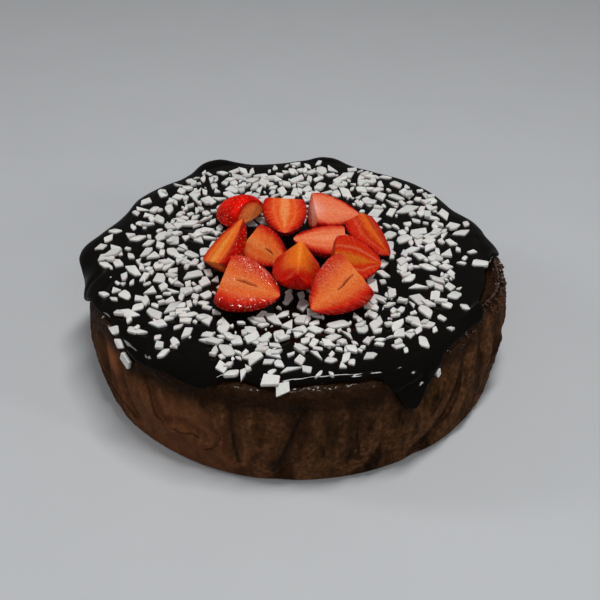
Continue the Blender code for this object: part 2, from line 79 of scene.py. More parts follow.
# Creases of the soft side, darkened with painted shade: depth, width, then points as (angle, height)
CREASES = (
    (2.6, 5.0, ((324, 54), (321, 40), (317, 28), (311, 15), (305, 5))),
    (1.8, 4.0, ((219, 48), (221, 40), (222, 25), (224, 13))),
    (1.5, 4.0, ((232, 52), (233, 44), (237, 29))),
    (1.2, 3.2, ((239, 31), (243, 33), (248, 28))),
    (1.2, 4.0, ((257, 57), (257, 40), (256, 18))),
    (1.0, 4.0, ((263, 54), (264, 34))),
    (1.8, 6.0, ((273, 57), (271, 30), (268, 6))),
    (1.3, 5.0, ((287, 52), (288, 36), (286, 18))),
    (1.4, 5.0, ((331, 56), (329, 34), (330, 12))),
    (1.6, 5.0, ((339, 54), (338, 30), (336, 14))),
    (1.4, 5.0, ((347, 56), (346, 38), (348, 18))),
)
BACK_CREASES = 13

# Splits of the side, made as thin lines that stand out and darkened with painted shade: height, width, points
# as (angle, height)
SPLITS = (
    (0.9, 0.7, ((206, 29), (211, 25), (216, 22), (220, 19), (223, 11))),
    (0.8, 0.6, ((221, 37), (222.6, 29), (224.6, 21))),
    (0.8, 0.7, ((231.8, 46), (233.2, 38), (234.5, 31), (237, 26))),
    (0.9, 0.6, ((240, 27), (242.8, 26.3), (245.3, 27.4), (247, 25.5))),
    (0.5, 0.5, ((248.7, 18), (251.5, 22.4), (253.3, 30.4))),
    (0.5, 0.6, ((256.4, 35), (256.7, 24), (257.1, 17))),
    (0.8, 0.9, ((274.8, 53), (273.3, 47), (271.6, 39), (269.8, 28), (267.8, 17), (266.4, 9))),
    (0.5, 0.6, ((287.3, 35), (287.6, 28), (288.1, 19))),
    (0.6, 0.6, ((298.5, 23), (300.6, 25.3))),
    (1.0, 0.9, ((323.6, 52), (321.8, 43), (319.4, 29), (316.7, 21), (312.2, 16), (307, 8))),
    (0.6, 0.7, ((342, 19), (334.5, 13), (328, 9), (323, 5))),
    (0.6, 0.7, ((312.8, 47), (311.5, 38), (308.8, 31))),
)

# Runs of melted chocolate down the side: half width, then points as (angle, height)
RUNS = (
    (1.9, ((276.0, 56), (273.9, 47), (271.9, 39), (270.0, 28), (268.0, 17), (266.8, 11))),
    (1.2, ((256.2, 48), (256.6, 36), (257.0, 24), (257.3, 14))),
    (0.8, ((287.2, 46), (287.5, 34), (288.0, 20))),
)

# How far the glaze runs over the edge: angle, extra millimetres, half width in degrees
DRIPS = (
    (190, 12.0, 6), (178, 3.0, 5), (165, 9.0, 6), (140, 14.0, 6), (116, 22.0, 7), (97, 5.0, 6),
    (80, 16.0, 6), (60, 6.0, 6), (40, 10.0, 6), (20, 4.0, 5), (208, -1.5, 4.6), (214, -2.7, 4.6),
    (220, -1.0, 4.6), (226, 1.3, 4.6), (232, 1.8, 4.6), (238, 0.7, 4.6), (244, 1.5, 4.6), (250, 1.8, 4.6),
    (256, -4.7, 4.6), (262, -2.4, 4.6), (268, -1.4, 4.6), (274, -3.1, 4.6), (280, -3.4, 4.6),
    (286, -2.6, 4.6), (293, -2.2, 3.4), (297, 3.5, 3.4), (301, 17.3, 3.4), (305, 7.0, 3.4),
    (309, 3.6, 3.4), (317, -0.6, 3.4), (322, -1.0, 4.6), (328, -0.6, 4.6), (334, 3.0, 4.6),
)
# Where the glaze is thicker at the edge: angle, millimetres, half width in degrees
THICK_LOBES = ((116, 4.5, 7), (79, 2.6, 6), (178, 1.8, 7), (190, 1.2, 5), (303, 1.2, 5))
# Where the glaze's columns lie closer: angle, how much closer, half width in degrees
CLOSER = ((303, 1.6, 9), (190, 0.8, 8), (116, 0.8, 10), (79, 0.6, 8), (331, 1.0, 7), (359, 1.0, 7))

# Folds pressed into the glaze: depth, width, then points as (angle, millimetres past the edge's start)
GLAZE_FOLDS = (
    (0.8, 1.5, ((196, -7), (201, -2), (206, 2), (211, 4))),
    (0.7, 1.3, ((188, -2), (193, 2), (197, 6))),
    (0.8, 1.5, ((222, -9), (226, -4), (230, 1), (233, 6))),
    (0.6, 1.4, ((228, -8), (231, -4), (235, 0))),
    (0.6, 1.6, ((238, -6), (242, -2), (245, 4))),
    (0.5, 1.5, ((251, -5), (256, -2), (260, 0))),
    (0.12, 1.4, ((296, -2), (300, 4), (302, 14))),
    (0.15, 1.6, ((306, -3), (306, 4), (304, 12))),
    (0.5, 1.6, ((356, -9), (4, -6), (10, -3))),
    (1.5, 1.9, ((293, 13.0), (299, 10.2), (304.5, 7.6))),
)

# Single chips near the front edge: angle, radius, length, width, turn and outward lean in degrees
EDGE_CHIPS = (
    (265.9, 113.8, 10.8, 7.9, -2, 6), (258.8, 110.1, 9.0, 6.2, 95, 3), (255.5, 112.0, 8.6, 5.0, 5, 4),
    (270.9, 106.4, 9.5, 5.4, 0, 2), (275.2, 106.1, 6.8, 5.0, -15, 2), (252.3, 109.4, 7.5, 6.0, 65, 3),
    (264.4, 100.1, 6.0, 4.2, 0, 1), (221.8, 110.8, 7.5, 5.0, -30, 3), (224.6, 108.6, 7.5, 5.0, -35, 3),
    (224.7, 97.5, 8.5, 7.0, 20, 2),
)
# Chips stuck on the glazed edge: angle, millimetres past the edge's start, length, width, turn
RIM_CHIPS = (
    (269.1, 1.6, 8.2, 6.8, -14), (217, 2.0, 6.5, 5.6, 15), (221.3, 4.6, 7.5, 4.6, 24),
    (224.5, 8.6, 9.0, 6.4, 29), (235.5, -0.6, 8.5, 5.0, 84), (310, 10.2, 4.8, 3.6, 75),
)
# Bare and full patches among the chips: angle, radius, size, how much
BARE = (
    (228, 64, 8, 0.9), (230, 98, 10, 0.8), (240, 108, 10, 0.8), (210, 52, 10, 0.8), (62, 78, 8, 0.8),
    (345, 109, 14, 0.9), (328, 108, 14, 0.9), (314, 108, 11, 0.8), (0, 111, 12, 0.8), (160, 72, 6, 0.6),
    (165, 96, 9, 0.7), (197, 110, 12, 0.9), (75, 104, 8, 0.7), (100, 102, 7, 0.6), (325, 62, 9, 0.7),
    (290, 112, 14, 0.9), (280, 104, 9, 0.5), (150, 104, 8, 0.6), (300, 58, 8, 0.5),
    (10, 64, 8, 0.5), (32, 64, 8, 0.4), (50, 65, 8, 0.6), (208, 106, 9, 0.8), (336, 104, 8, 0.7),
    (150, 92, 8, 0.4),
)
FULL = (
    (135, 64, 9, 0.7), (120, 76, 10, 0.5), (76, 73, 9, 0.5), (15, 78, 9, 0.3), (180, 66, 8, 0.5),
    (247, 82, 10, 0.5), (264, 64, 9, 0.7), (330, 86, 9, 0.4), (303, 82, 9, 0.5), (25, 90, 8, 0.3),
    (150, 58, 8, 0.6), (246, 68, 8, 0.7), (68, 84, 9, 0.5), (105, 74, 9, 0.5), (290, 96, 8, 0.4),
    (66, 96, 8, 0.4), (85, 86, 8, 0.4), (168, 56, 7, 0.4),
)
# Small clearings at seeded places between the chips: how many, how wide, how bare
CLEARINGS = (80, 5.0, 0.95)

# The spot that every lamp points at, in metres
LIGHT_AIM = (0.0, 0.0, 0.05)

# Strawberries: name, middle of the stalk end, heading, dip, roll, length, radius, span, bluntness
BERRIES = (
    ("strawberry_front_left", (-35.7, -50.2, 86.5), 345, 11, 27, 32.7, 17.3, 180, 1.9),
    ("strawberry_front_right", (37.5, -46.4, 87.5), 217, 19, -36, 33.6, 16.7, 180, 1.9),
    ("strawberry_centre", (6.6, -22.3, 93.0), 267, 0, -8, 34.5, 21.8, 82, 3.2),
    ("strawberry_right", (25.4, -26.6, 84.6), 4, 13, 35, 26.8, 14.8, 180, 2.4),
    ("strawberry_left", (-24.3, -2.8, 81.1), 320, 9, 34, 29.2, 12.6, 181, 1.9),
    ("strawberry_far_left", (-44.2, -24.6, 79.1), 51, -31, -27, 31.0, 14.1, 180, 1.9),
    ("strawberry_back_left", (-24.2, 26.6, 74.4), 139, 9, 180, 27.5, 15.4, 176, 2.0),
    ("strawberry_back", (-4.0, 36.6, 84.8), 271, 12, -5, 30.4, 13.8, 180, 2.8),
    ("strawberry_back_right", (14.3, 25.0, 85.3), 12, 17, 12, 29.0, 15.5, 184, 1.7),
    ("strawberry_far_right", (41.9, 16.6, 87.2), 299, 21, -5, 33.5, 14.0, 113, 1.9),
    ("strawberry_middle", (32.0, -1.0, 81.4), 182, 2, -9, 30.3, 13.4, 165, 2.2),
)

# Looks of the cut faces: flesh colour, core colour, strength of the pale ring, how deep the red rim goes,
# and how bright the skin is. A skin brightness above 1 is painted light on skin that lies in shade
CUT_LOOKS = {
    "strawberry_front_left": ((0.78, 0.137, 0.026), (0.78, 0.19, 0.050), 0.2, 0.48, 0.9),
    "strawberry_front_right": ((0.82, 0.155, 0.030), (0.84, 0.20, 0.050), 0.2, 0.46, 0.9),
    "strawberry_centre": ((1.00, 0.175, 0.009), (1.00, 0.24, 0.018), 0.3, 0.56, 2.2),
    "strawberry_right": ((0.60, 0.026, 0.001), (0.62, 0.130, 0.007), 0.8, 0.24, 1.0),
    "strawberry_left": ((0.82, 0.145, 0.023), (0.84, 0.22, 0.050), 0.2, 0.36, 1.0),
    "strawberry_far_left": ((1.00, 0.160, 0.012), (1.00, 0.32, 0.050), 0.3, 0.34, 1.0),
    # This piece's brighter flesh and skin are painted light on a cut face that lies in shade
    "strawberry_back_left": ((1.00, 0.240, 0.050), (1.00, 0.34, 0.110), 0.2, 0.22, 1.4),
    "strawberry_back": ((0.80, 0.095, 0.011), (0.88, 0.27, 0.080), 0.3, 0.40, 1.0),
    "strawberry_back_right": ((0.88, 0.205, 0.090), (0.90, 0.26, 0.120), 0.2, 0.18, 1.0),
    "strawberry_far_right": ((0.60, 0.034, 0.002), (0.74, 0.12, 0.012), 0.4, 0.46, 1.0),
    "strawberry_middle": ((0.88, 0.195, 0.072), (0.90, 0.27, 0.120), 0.3, 0.34, 1.0),
}
# Slits along the cores: length share and millimetres across at both ends, depth
SLITS = {
    "strawberry_front_left": (0.22, 1.4, 0.60, 1.0, 1.5),
    "strawberry_front_right": (0.09, -0.4, 0.45, 0.5, 1.2),
    "strawberry_left": (0.44, 0.2, 0.67, 0.2, 1.0),
}
# Pieces whose red rim is wider on one side: share of the radius by which it shifts
RED_LEAN = {"strawberry_front_left": 0.16, "strawberry_front_right": -0.16}
# How much deeper the red goes at the tip, where it is more than the usual 0.2
TIP_RED = {"strawberry_centre": 0.6}
# Deep red patches with pale specks of painted glint: length share, millimetres across, size in millimetres,
# strength
PATCHES_AND_GLINTS = {
    "strawberry_front_left": ((0.35, 14, 7, 0.9), (0.60, 12, 5, 0.8)),
    "strawberry_front_right": ((0.30, -13, 6, 0.7), (0.55, -9, 4, 0.5)),
    "strawberry_back_right": ((-0.12, 0, 6.5, 1.6),),
}
# These patches are deep red with pale specks of painted glint, but on this piece they are pale all through,
# as painted light on an end that lies in shade
PAINTED_LIGHT_PATCH = {"strawberry_back_right": (1.0, 0.46, 0.38)}


def smooth(x, low, high):
    """A soft step from 0 at low to 1 at high: 3t^2 - 2t^3 of the share t of the way."""
    t = np.clip((x - low) / (high - low), 0.0, 1.0)
    return t * t * (3.0 - 2.0 * t)


def bump(theta, centre, half, power=2.4):
    """A rounded bump over angle: exp of minus the distance in half widths raised to a power."""
    away = (theta - centre + 180.0) % 360.0 - 180.0
    return np.exp(-np.abs(away / half) ** power)


def swell(theta, rows, power=2.4):
    """The sum of bumps given as (angle, height, half width)."""
    total = np.zeros_like(theta, dtype=float)
    for centre, height, half in rows:
        total = total + height * bump(theta, centre, half, power)
    return total


def lumps(x, y, z, size, seed):
    """Random lumps from -1 to 1, about size across: random values at the corners of a cubic lattice,
    blended along each axis with the smooth step 3t^2 - 2t^3."""
    p = np.stack(np.broadcast_arrays(x, y, z), -1) / size + 17.31 * seed
    cell = np.floor(p)
    part = p - cell
    part = part * part * (3.0 - 2.0 * part)
    total = np.zeros(p.shape[:-1])
    for corner in itertools.product((0, 1), repeat=3):
        value = np.sin((cell + corner) @ np.array([127.1, 311.7, 74.7])) * 43758.5453
        weight = np.prod(np.where(corner, part, 1.0 - part), axis=-1)
        total = total + (2.0 * (value - np.floor(value)) - 1.0) * weight
    return total


def near_path(across, up, path):
    """Distance from points to a broken line, all in millimetres: the least over its straight parts."""
    near = np.full(np.broadcast(across, up).shape, 1e3)
    for (x0, y0), (x1, y1) in zip(path[:-1], path[1:]):
        dx, dy = x1 - x0, y1 - y0
        t = np.clip(((across - x0) * dx + (up - y0) * dy) / (dx * dx + dy * dy), 0.0, 1.0)
        near = np.minimum(near, np.hypot(across - x0 - t * dx, up - y0 - t * dy))
    return near


def near_side_path(theta, z, path):
    """Distance to a path on the side, with DEGREE_MM to a degree, measured from the path's first angle."""
    first = path[0][0]
    line = [(((a - first + 180.0) % 360.0 - 180.0) * DEGREE_MM, h) for a, h in path]
    return near_path(((theta - first + 180.0) % 360.0 - 180.0) * DEGREE_MM, z, line)


def fade(distance, width):
    """A soft mark round a line or spot: exp of minus the square of the distance in widths."""
    return np.exp(-((distance / width) ** 2))


def crease_rows():
    """The named creases, and upright ones with seeded places round the back."""
    rng = np.random.default_rng(7)
    rows = list(CREASES)
    for angle in np.linspace(2, 206, BACK_CREASES):
        a = angle + rng.uniform(-5, 5)
        high, low = rng.uniform(44, 56), rng.uniform(8, 30)
        lean = rng.uniform(-4, 4)
        path = ((a, high), (a + 0.5 * lean, 0.5 * (high + low)), (a + lean, low))
        rows.append((rng.uniform(1.0, 2.0), rng.uniform(4.0, 6.0), path))
    return rows


def slow_waves():
    """Turns, rise and phase of nine seeded waves round the side."""
    rng = np.random.default_rng(5)
    return [
        (int(rng.integers(3, 15)), rng.uniform(0.03, 0.16), rng.uniform(0, 6.3)) for _ in range(9)
    ]


def millimetres(length):
    """A panel length in millimetres, rounded to three places."""
    return round(length * 1000.0, 3)


class CakeForm:
    """The outside of the sponge and of the glaze, in millimetres and degrees, from the panel's sizes."""

    def __init__(self, sponge, glaze):
        self.top_radius = millimetres(sponge.top_radius)
        self.foot_radius = millimetres(sponge.foot_radius)
        self.top = millimetres(sponge.height)
        self.edge = millimetres(sponge.edge_round)
        self.foot = millimetres(sponge.foot_round)
        self.flat = self.top + millimetres(glaze.top_thickness)
        self.side = millimetres(glaze.side_thickness)
        self.gap = millimetres(glaze.clearance)
        self.run = millimetres(glaze.run)
        self.creases = crease_rows()
        self.waves = slow_waves()

    def relief(self, theta, z):
        """Millimetres that the side stands out: slow sine waves less a rounded groove at each crease."""
        out = np.zeros(np.broadcast(theta, z).shape)
        for turns, rise, phase in self.waves:
            out = out + 0.28 * np.sin(np.radians(theta) * turns + rise * z + phase)
        for depth, width, path in self.creases:
            out = out - depth * fade(near_side_path(theta, z, path), width)
        lip = self.top - self.edge - np.maximum(self.glaze_run(theta) - self.edge * math.pi / 2, 0.0)
        return out * smooth(z, 1.0, 9.0) * (1.0 - smooth(z, lip - 9.0, lip - 1.0))

    def wall_radius(self, theta, z):
        """Radius of the side: a cone from the shifted foot circle to the top circle, swollen and creased."""
        a = np.radians(theta)
        along = FOOT_SHIFT[0] * np.cos(a) + FOOT_SHIFT[1] * np.sin(a)
        across = FOOT_SHIFT[0] * np.sin(a) - FOOT_SHIFT[1] * np.cos(a)
        foot = along + np.sqrt(self.foot_radius**2 - across**2)
        rise = np.clip(z / self.top, 0.0, 1.0)
        r = foot * (1.0 - rise) + self.top_radius * rise + BULGE * np.sin(math.pi * rise)
        r = r + swell(theta, RIM_LOBES) * smooth(z, 8.0, 60.0)
        return r + self.relief(theta, z)

    def crust_rise(self, theta, share):
        """How far the bare crust stands above the flat top at a share of the way out."""
        middle, half, height = CRUST
        tall = (height + swell(theta, CRUST_PEAKS)) * bump(theta, middle, half, 4.0)
        return tall * smooth(share, 0.96, 1.0)

    def skin(self, theta, q):
        """Radius, height and outward tilt of the sponge: q runs 0-1 over the top, 1-2 round the edge,
        2-3 down the side, 3-4 round the foot and 4-5 under it, each rounding a quarter circle."""
        edge = self.wall_radius(theta, self.top - self.edge + 0.0 * theta)
        low = self.wall_radius(theta, self.foot + 0.0 * theta)
        turn = np.clip(q - 1.0, 0.0, 1.0) * math.pi / 2
        under = np.clip(q - 3.0, 0.0, 1.0) * math.pi / 2
        flat = np.clip(q, 0.0, 1.0)
        r = np.where(q <= 1, flat * (edge - self.edge), edge - self.edge + self.edge * np.sin(turn))
        z = self.top - self.edge + self.edge * np.cos(turn) + self.crust_rise(theta, flat) * np.cos(turn)
        fall = np.clip(q - 2.0, 0.0, 1.0)
        side_z = (self.top - self.edge) * (1.0 - fall) + self.foot * fall
        r = np.where(q > 2, self.wall_radius(theta, side_z), r)
        z = np.where(q > 2, side_z, z)
        r = np.where(q > 3, low - self.foot + self.foot * np.cos(under), r)
        z = np.where(q > 3, self.foot - self.foot * np.sin(under), z)
        r = np.where(q > 4, (low - self.foot) * (5.0 - q), r)
        return r, z, turn

    def past_edge(self, theta, mm):
        """The skin's q at a distance in millimetres past the edge's start, measured along the surface."""
        flat = self.wall_radius(theta, self.top - self.edge + 0.0 * theta) - self.edge
        arc = self.edge * math.pi / 2
        side = self.top - self.edge - self.foot
        return np.where(mm < 0, 1.0 + mm / flat, np.where(mm < arc, 1.0 + mm / arc, 2.0 + (mm - arc) / side))

    def lifted(self, theta, q, lift):
        """Points at a height above the skin, as an array ending in x, y, z."""
        r, z, turn = self.skin(theta, q)
        r = r + lift * np.sin(turn)
        z = z + lift * np.cos(turn)
        a = np.radians(theta)
        return np.stack([r * np.cos(a), r * np.sin(a), z + 0.0 * r], axis=-1)

    def glaze_run(self, theta):
        """Millimetres the glaze runs past the edge's start; negative where it stops short of the crust."""
        theta = np.asarray(theta, dtype=float)
        bare = bump(theta, CRUST[0], CRUST[1] - 4.5, 4.0)
        return (self.run + swell(theta, DRIPS)) * (1.0 - bare) - 6.5 * bare

    def under_lift(self, mm):
        """Height of the glaze's underside above the skin, a little more round the sponge's edge."""
        return self.gap + 0.8 * smooth(mm, -3.0, 1.5) * (1.0 - smooth(mm, 8.5, 13.0))

    def glaze_lift(self, theta, mm, run):
        """Height of the glaze's outside above the skin, thinning over the edge to a rounded lower lip."""
        flat = self.flat - self.top
        side = self.side + self.gap + swell(theta, THICK_LOBES) * smooth(mm, -4.0, 3.0)
        thick = flat + (side - flat) * smooth(mm, -5.0, 5.0)
        lip = np.clip((run - mm) / 3.0, 0.0, 1.0)
        low = self.under_lift(mm) + 0.5
        return low + (thick + 0.3 - low) * np.sqrt(lip * (2.0 - lip))


def wrapped_quads(rows, columns):
    """Quads of a grid of rows whose columns run round and meet."""
    i, j = np.meshgrid(np.arange(rows - 1), np.arange(columns), indexing="ij")
    k = (j + 1) % columns
    here, below = i * columns, (i + 1) * columns
    return np.stack([here + j, below + j, below + k, here + k], -1).reshape(-1, 4)


def copied_faces(faces, count, size):
    """The faces of one small shape repeated for a count of copies with size points each."""
    start = (np.arange(count) * size)[:, None, None]
    return (faces[None] + start).reshape(-1, faces.shape[1])


def closed_surface(rows, first, last):
    """Points and faces of a grid of rings, closed on one point at each end, all wound the same way."""
    count, n = rows.shape[:2]
    points = np.vstack([rows.reshape(-1, 3), [first], [last]])
    j = np.arange(n)
    k = (j + 1) % n
    top = np.stack([np.full(n, count * n), j, k], -1)
    base = (count - 1) * n
    bottom = np.stack([base + j, np.full(n, count * n + 1), base + k], -1)
    return points, wrapped_quads(count, n), np.vstack([top, bottom])


def grid_normals(rows):
    """Unit normals of a ring grid: the cross product of the steps along and across each point. They face
    out on the sponge and on the outside of the glaze, and in on a strawberry piece."""
    down = np.gradient(rows, axis=0)
    side = np.roll(rows, -1, axis=1) - np.roll(rows, 1, axis=1)
    normal = np.cross(down, side)
    return normal / np.maximum(np.linalg.norm(normal, axis=-1, keepdims=True), 1e-9)


def volume(points, faces):
    """Six times the volume inside the faces, fanned into triangles; negative if they face in."""
    total = 0.0
    for f in faces:
        for i in range(1, f.shape[1] - 1):
            total += np.einsum("ij,ij->", points[f[:, 0]], np.cross(points[f[:, i]], points[f[:, i + 1]]))
    return total


def new_piece(name, points, faces, material, values=None, sharp=None):
    """A shown piece from points in millimetres and arrays of faces, which are turned round if they face in,
    with its point attributes. Edges sharper than a given angle in degrees stay sharp."""
    placed = (points - np.array([CENTRE[0], CENTRE[1], 0.0])) * MM
    if volume(placed, faces) < 0.0:
        faces = [f[:, ::-1] for f in faces]
    mesh = bpy.data.meshes.new(name)
    mesh.from_pydata(placed.tolist(), [], [face for f in faces for face in f.tolist()])
    mesh.update()
    for key, value in (values or {}).items():
        layer = mesh.attributes.new(key, "FLOAT", "POINT")
        layer.data.foreach_set("value", np.ascontiguousarray(value, dtype=np.float32))
    mesh.materials.append(material)
    mesh.shade_smooth()
    if sharp:
        mesh.set_sharp_from_angle(angle=math.radians(sharp))
    piece = bpy.data.objects.new(name, mesh)
    bpy.context.scene.collection.objects.link(piece)
    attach(piece, "root")
    return piece


class Finish:
    """A material being made: short ways to add nodes and join them to its shader."""

    def __init__(self, name):
        self.material = bpy.data.materials.new(name)
        self.material.use_nodes = True
        self.tree = self.material.node_tree
        self.shader = self.tree.nodes["Principled BSDF"]
        self.place = self.tree.nodes.new("ShaderNodeTexCoord").outputs["Object"]

    def feed(self, socket, value):
        """Joins an output to the socket, or sets the socket's own value."""
        if isinstance(value, bpy.types.NodeSocket):
            self.tree.links.new(value, socket)
        elif isinstance(value, (tuple, list)) and socket.type == "RGBA":
            socket.default_value = (*value[:3], 1.0)
        else:
            socket.default_value = value

    def set(self, **inputs):
        """Sets or joins the shader's sockets by name, with underscores for spaces."""
        for key, value in inputs.items():
            self.feed(self.shader.inputs[key.replace("_", " ")], value)

    def noise(self, size_mm, detail=3.0, stretch=None, vector=None, roughness=0.55):
        """Cloudy noise about size_mm across, 0 to 1, stretched along the axes if asked."""
        place = vector or self.place
        if stretch:
            mapping = self.tree.nodes.new("ShaderNodeMapping")
            mapping.inputs["Scale"].default_value = stretch
            self.tree.links.new(place, mapping.inputs["Vector"])
            place = mapping.outputs["Vector"]
        node = self.tree.nodes.new("ShaderNodeTexNoise")
        node.inputs["Scale"].default_value = 1000.0 / size_mm
        node.inputs["Detail"].default_value = detail
        node.inputs["Roughness"].default_value = roughness
        self.tree.links.new(place, node.inputs["Vector"])
        return node.outputs["Fac"]

    def attribute(self, name):
        """The piece's own point values of that name."""
        node = self.tree.nodes.new("ShaderNodeAttribute")
        node.attribute_name = name
        return node.outputs["Fac"]

    def ramp(self, value, *stops):
        """A blend of colours or greys over 0 to 1, with stops as (place, colour or grey)."""
        node = self.tree.nodes.new("ShaderNodeValToRGB")
        marks = node.color_ramp.elements
        while len(marks) < len(stops):
            marks.new(0.5)
        for mark, (place, colour) in zip(marks, stops):
            mark.position = place
            mark.color = (*colour, 1.0) if isinstance(colour, tuple) else (colour, colour, colour, 1.0)
        self.tree.links.new(value, node.inputs["Fac"])
        return node.outputs["Color"]

    def mix(self, share, first, second, way="MIX"):
        """Two colours mixed by a share from 0 to 1."""
        node = self.tree.nodes.new("ShaderNodeMix")
        node.data_type = "RGBA"
        node.blend_type = way
        self.feed(node.inputs["Factor"], share)
        self.feed(node.inputs[6], first)
        self.feed(node.inputs[7], second)
        return node.outputs[2]

    def maths(self, operation, first, second=0.0, third=0.0):
        """One step of arithmetic on up to three values."""
        node = self.tree.nodes.new("ShaderNodeMath")
        node.operation = operation
        for socket, value in zip(node.inputs, (first, second, third)):
            self.feed(socket, value)
        return node.outputs[0]

    def bumps(self, *layers):
        """Small relief from pairs of (height 0 to 1, depth in millimetres), one over the other."""
        normal = None
        for height, depth in layers:
            node = self.tree.nodes.new("ShaderNodeBump")
            node.inputs["Strength"].default_value = 1.0
            node.inputs["Distance"].default_value = depth * MM
            self.tree.links.new(height, node.inputs["Height"])
            if normal is not None:
                self.tree.links.new(normal, node.inputs["Normal"])
            normal = node.outputs["Normal"]
        self.tree.links.new(normal, self.shader.inputs["Normal"])


def shade(colour, factor):
    """A colour times a factor, each part at most 1."""
    return tuple(min(1.0, factor * c) for c in colour)


def paler(colour, step):
    """A colour with a step added to each part, each part at most 1."""
    return tuple(min(1.0, c + step) for c in colour)


def sponge_finish(sponge):
    """Moist dark crumb: brown clouds and fine grain, painted shade where the tone is low and a painted pale
    sheen in patches where it is high, redder where baked, dark and wet below the glaze and in the runs."""
    f = Finish("moist_chocolate_sponge")
    dark, middle, warm = tuple(sponge.dark_colour), tuple(sponge.colour), tuple(sponge.warm_colour)
    painted_sheen, syrup, painted_split_shade = (0.145, 0.060, 0.025), (0.017, 0.0065, 0.0018), (0.006, 0.002, 0.001)
    cloud = f.noise(16.0, 4.0, (1.0, 1.0, 0.55))
    colour = f.ramp(cloud, (0.32, dark), (0.52, middle), (0.72, shade(middle, 1.45)))
    grain = f.ramp(f.noise(1.3, 3.0), (0.25, 0.62), (0.5, 0.95), (0.75, 1.25))
    colour = f.mix(1.0, colour, grain, "MULTIPLY")
    tone = f.attribute("tone")
    # Painted shade where the tone is low.
    colour = f.mix(f.ramp(tone, (0.20, 0.85), (0.46, 0.0)), colour, shade(dark, 0.4))
    # A painted pale sheen in patches where the tone is high.
    sheen_patches = f.ramp(f.noise(3.0, 4.0), (0.40, 0.12), (0.62, 0.72))
    pale = f.maths("MULTIPLY", f.ramp(tone, (0.56, 0.0), (0.80, 1.0)), sheen_patches)
    colour = f.mix(pale, colour, painted_sheen)
    streak = f.ramp(f.noise(2.4, 5.0, (1.0, 1.0, 0.7)), (0.36, 0.6), (0.50, 1.0), (0.66, 1.35))
    colour = f.mix(0.7, colour, streak, "MULTIPLY")
    colour = f.mix(f.attribute("warm"), colour, warm)
    wet = f.attribute("wet")
    colour = f.mix(wet, colour, syrup)
    # Painted shade in the splits and creases.
    colour = f.mix(f.attribute("split"), colour, painted_split_shade)
    rough = f.ramp(f.noise(5.0, 4.0), (0.3, 0.40), (0.7, 0.62))
    film = f.maths("MULTIPLY", wet, f.ramp(f.noise(1.5, 2.0), (0.50, 0.1), (0.62, 0.65)))
    f.set(
        Base_Color=colour, Roughness=f.mix(wet, rough, (0.25, 0.25, 0.25)), Specular_IOR_Level=0.06,
        Coat_Weight=film, Coat_Roughness=0.1,
    )
    f.bumps((f.noise(5.0, 4.0, (1.0, 1.0, 0.35)), 1.3), (f.noise(1.8, 4.0), 0.7), (f.noise(0.6, 2.0), 0.12))
    return f.material


def glaze_finish(glaze):
    """Wet near-black chocolate: a smooth deep gloss with a faint unevenness and duller patches."""
    f = Finish("dark_chocolate_glaze")
    colour = tuple(glaze.colour)
    tone = f.ramp(f.noise(30.0, 3.0), (0.35, colour), (0.7, shade(colour, 1.5)))
    rough = f.ramp(f.noise(14.0, 4.0), (0.4, glaze.roughness), (0.75, 2.2 * glaze.roughness))
    f.set(Base_Color=tone, Roughness=rough, Specular_IOR_Level=0.2)
    f.bumps((f.noise(18.0, 2.0), 0.5), (f.noise(3.5, 2.0), 0.03))
    return f.material


def chip_finish(chips):
    """Chalky white chip: warm white that differs from chip to chip, cloudy, and with painted shade at its
    foot.
    """
    f = Finish("white_chip")
    colour = tuple(chips.colour)
    light = tuple(min(1.0, a * b) for a, b in zip(colour, (1.05, 1.05, 1.04)))
    painted_foot_shade = (0.20, 0.17, 0.15)
    tone = f.ramp(f.attribute("tone"), (0.0, shade(colour, 0.86)), (0.5, colour), (1.0, light))
    cloud = f.ramp(f.noise(2.2, 3.0), (0.3, 0.9), (0.65, 1.0))
    tone = f.mix(1.0, tone, cloud, "MULTIPLY")
    # Painted shade at the chip's foot.
    tone = f.mix(f.attribute("foot"), tone, painted_foot_shade)
    f.set(
        Base_Color=tone, Roughness=f.ramp(f.noise(3.0, 3.0), (0.3, 0.42), (0.7, 0.62)),
        Specular_IOR_Level=0.4, Subsurface_Weight=0.15, Subsurface_Scale=0.001,
    )
    f.bumps((f.noise(1.5, 3.0), 0.14), (f.noise(0.4, 2.0), 0.04))
    return f.material


def flesh_tone(f, name, red):
    """The colour of a cut face and its fibres: red at the rim, orange flesh and a paler core, with a pale
    ring, painted shade in the slit and a mottled pulp over them."""
    flesh, core, ring, rim, _ = CUT_LOOKS[name]
    rim_red, painted_slit_shade = (0.62, 0.014, 0.003), (0.17, 0.010, 0.003)
    deep = f.maths("ADD", f.attribute("depth"), f.maths("MULTIPLY_ADD", f.noise(4.0, 4.0), 0.30, -0.15))
    between = tuple(0.4 * a + 0.6 * b for a, b in zip(rim_red, flesh))
    tone = f.ramp(
        deep, (0.0, shade(red, 0.6)), (0.45 * rim, rim_red), (rim, between), (min(0.62, rim + 0.16), flesh),
        (0.7, flesh), (0.88, core),
    )
    along, across = f.attribute("along"), f.attribute("across")
    fan = f.tree.nodes.new("ShaderNodeCombineXYZ")
    f.feed(fan.inputs[0], f.maths("MULTIPLY_ADD", across, 0.55, along))
    f.feed(fan.inputs[1], f.maths("MULTIPLY", across, 0.12))
    fibre = f.noise(1.3, 2.0, vector=fan.outputs[0])
    tone = f.mix(f.ramp(fibre, (0.52, 0.0), (0.74, 0.22)), tone, paler(core, 0.12))
    band = f.ramp(deep, (0.40, 0.0), (0.50, ring * 0.55), (0.60, 0.0))
    tone = f.mix(band, tone, paler(core, 0.10))
    # Painted shade in the slit.
    tone = f.mix(f.attribute("slit"), tone, painted_slit_shade)
    pulp = f.ramp(
        f.noise(0.9, 3.0), (0.34, (0.80, 0.62, 0.52)), (0.52, (1.0, 1.0, 1.0)), (0.70, (1.06, 1.25, 1.35)),
    )
    return f.mix(0.8, tone, pulp, "MULTIPLY"), fibre


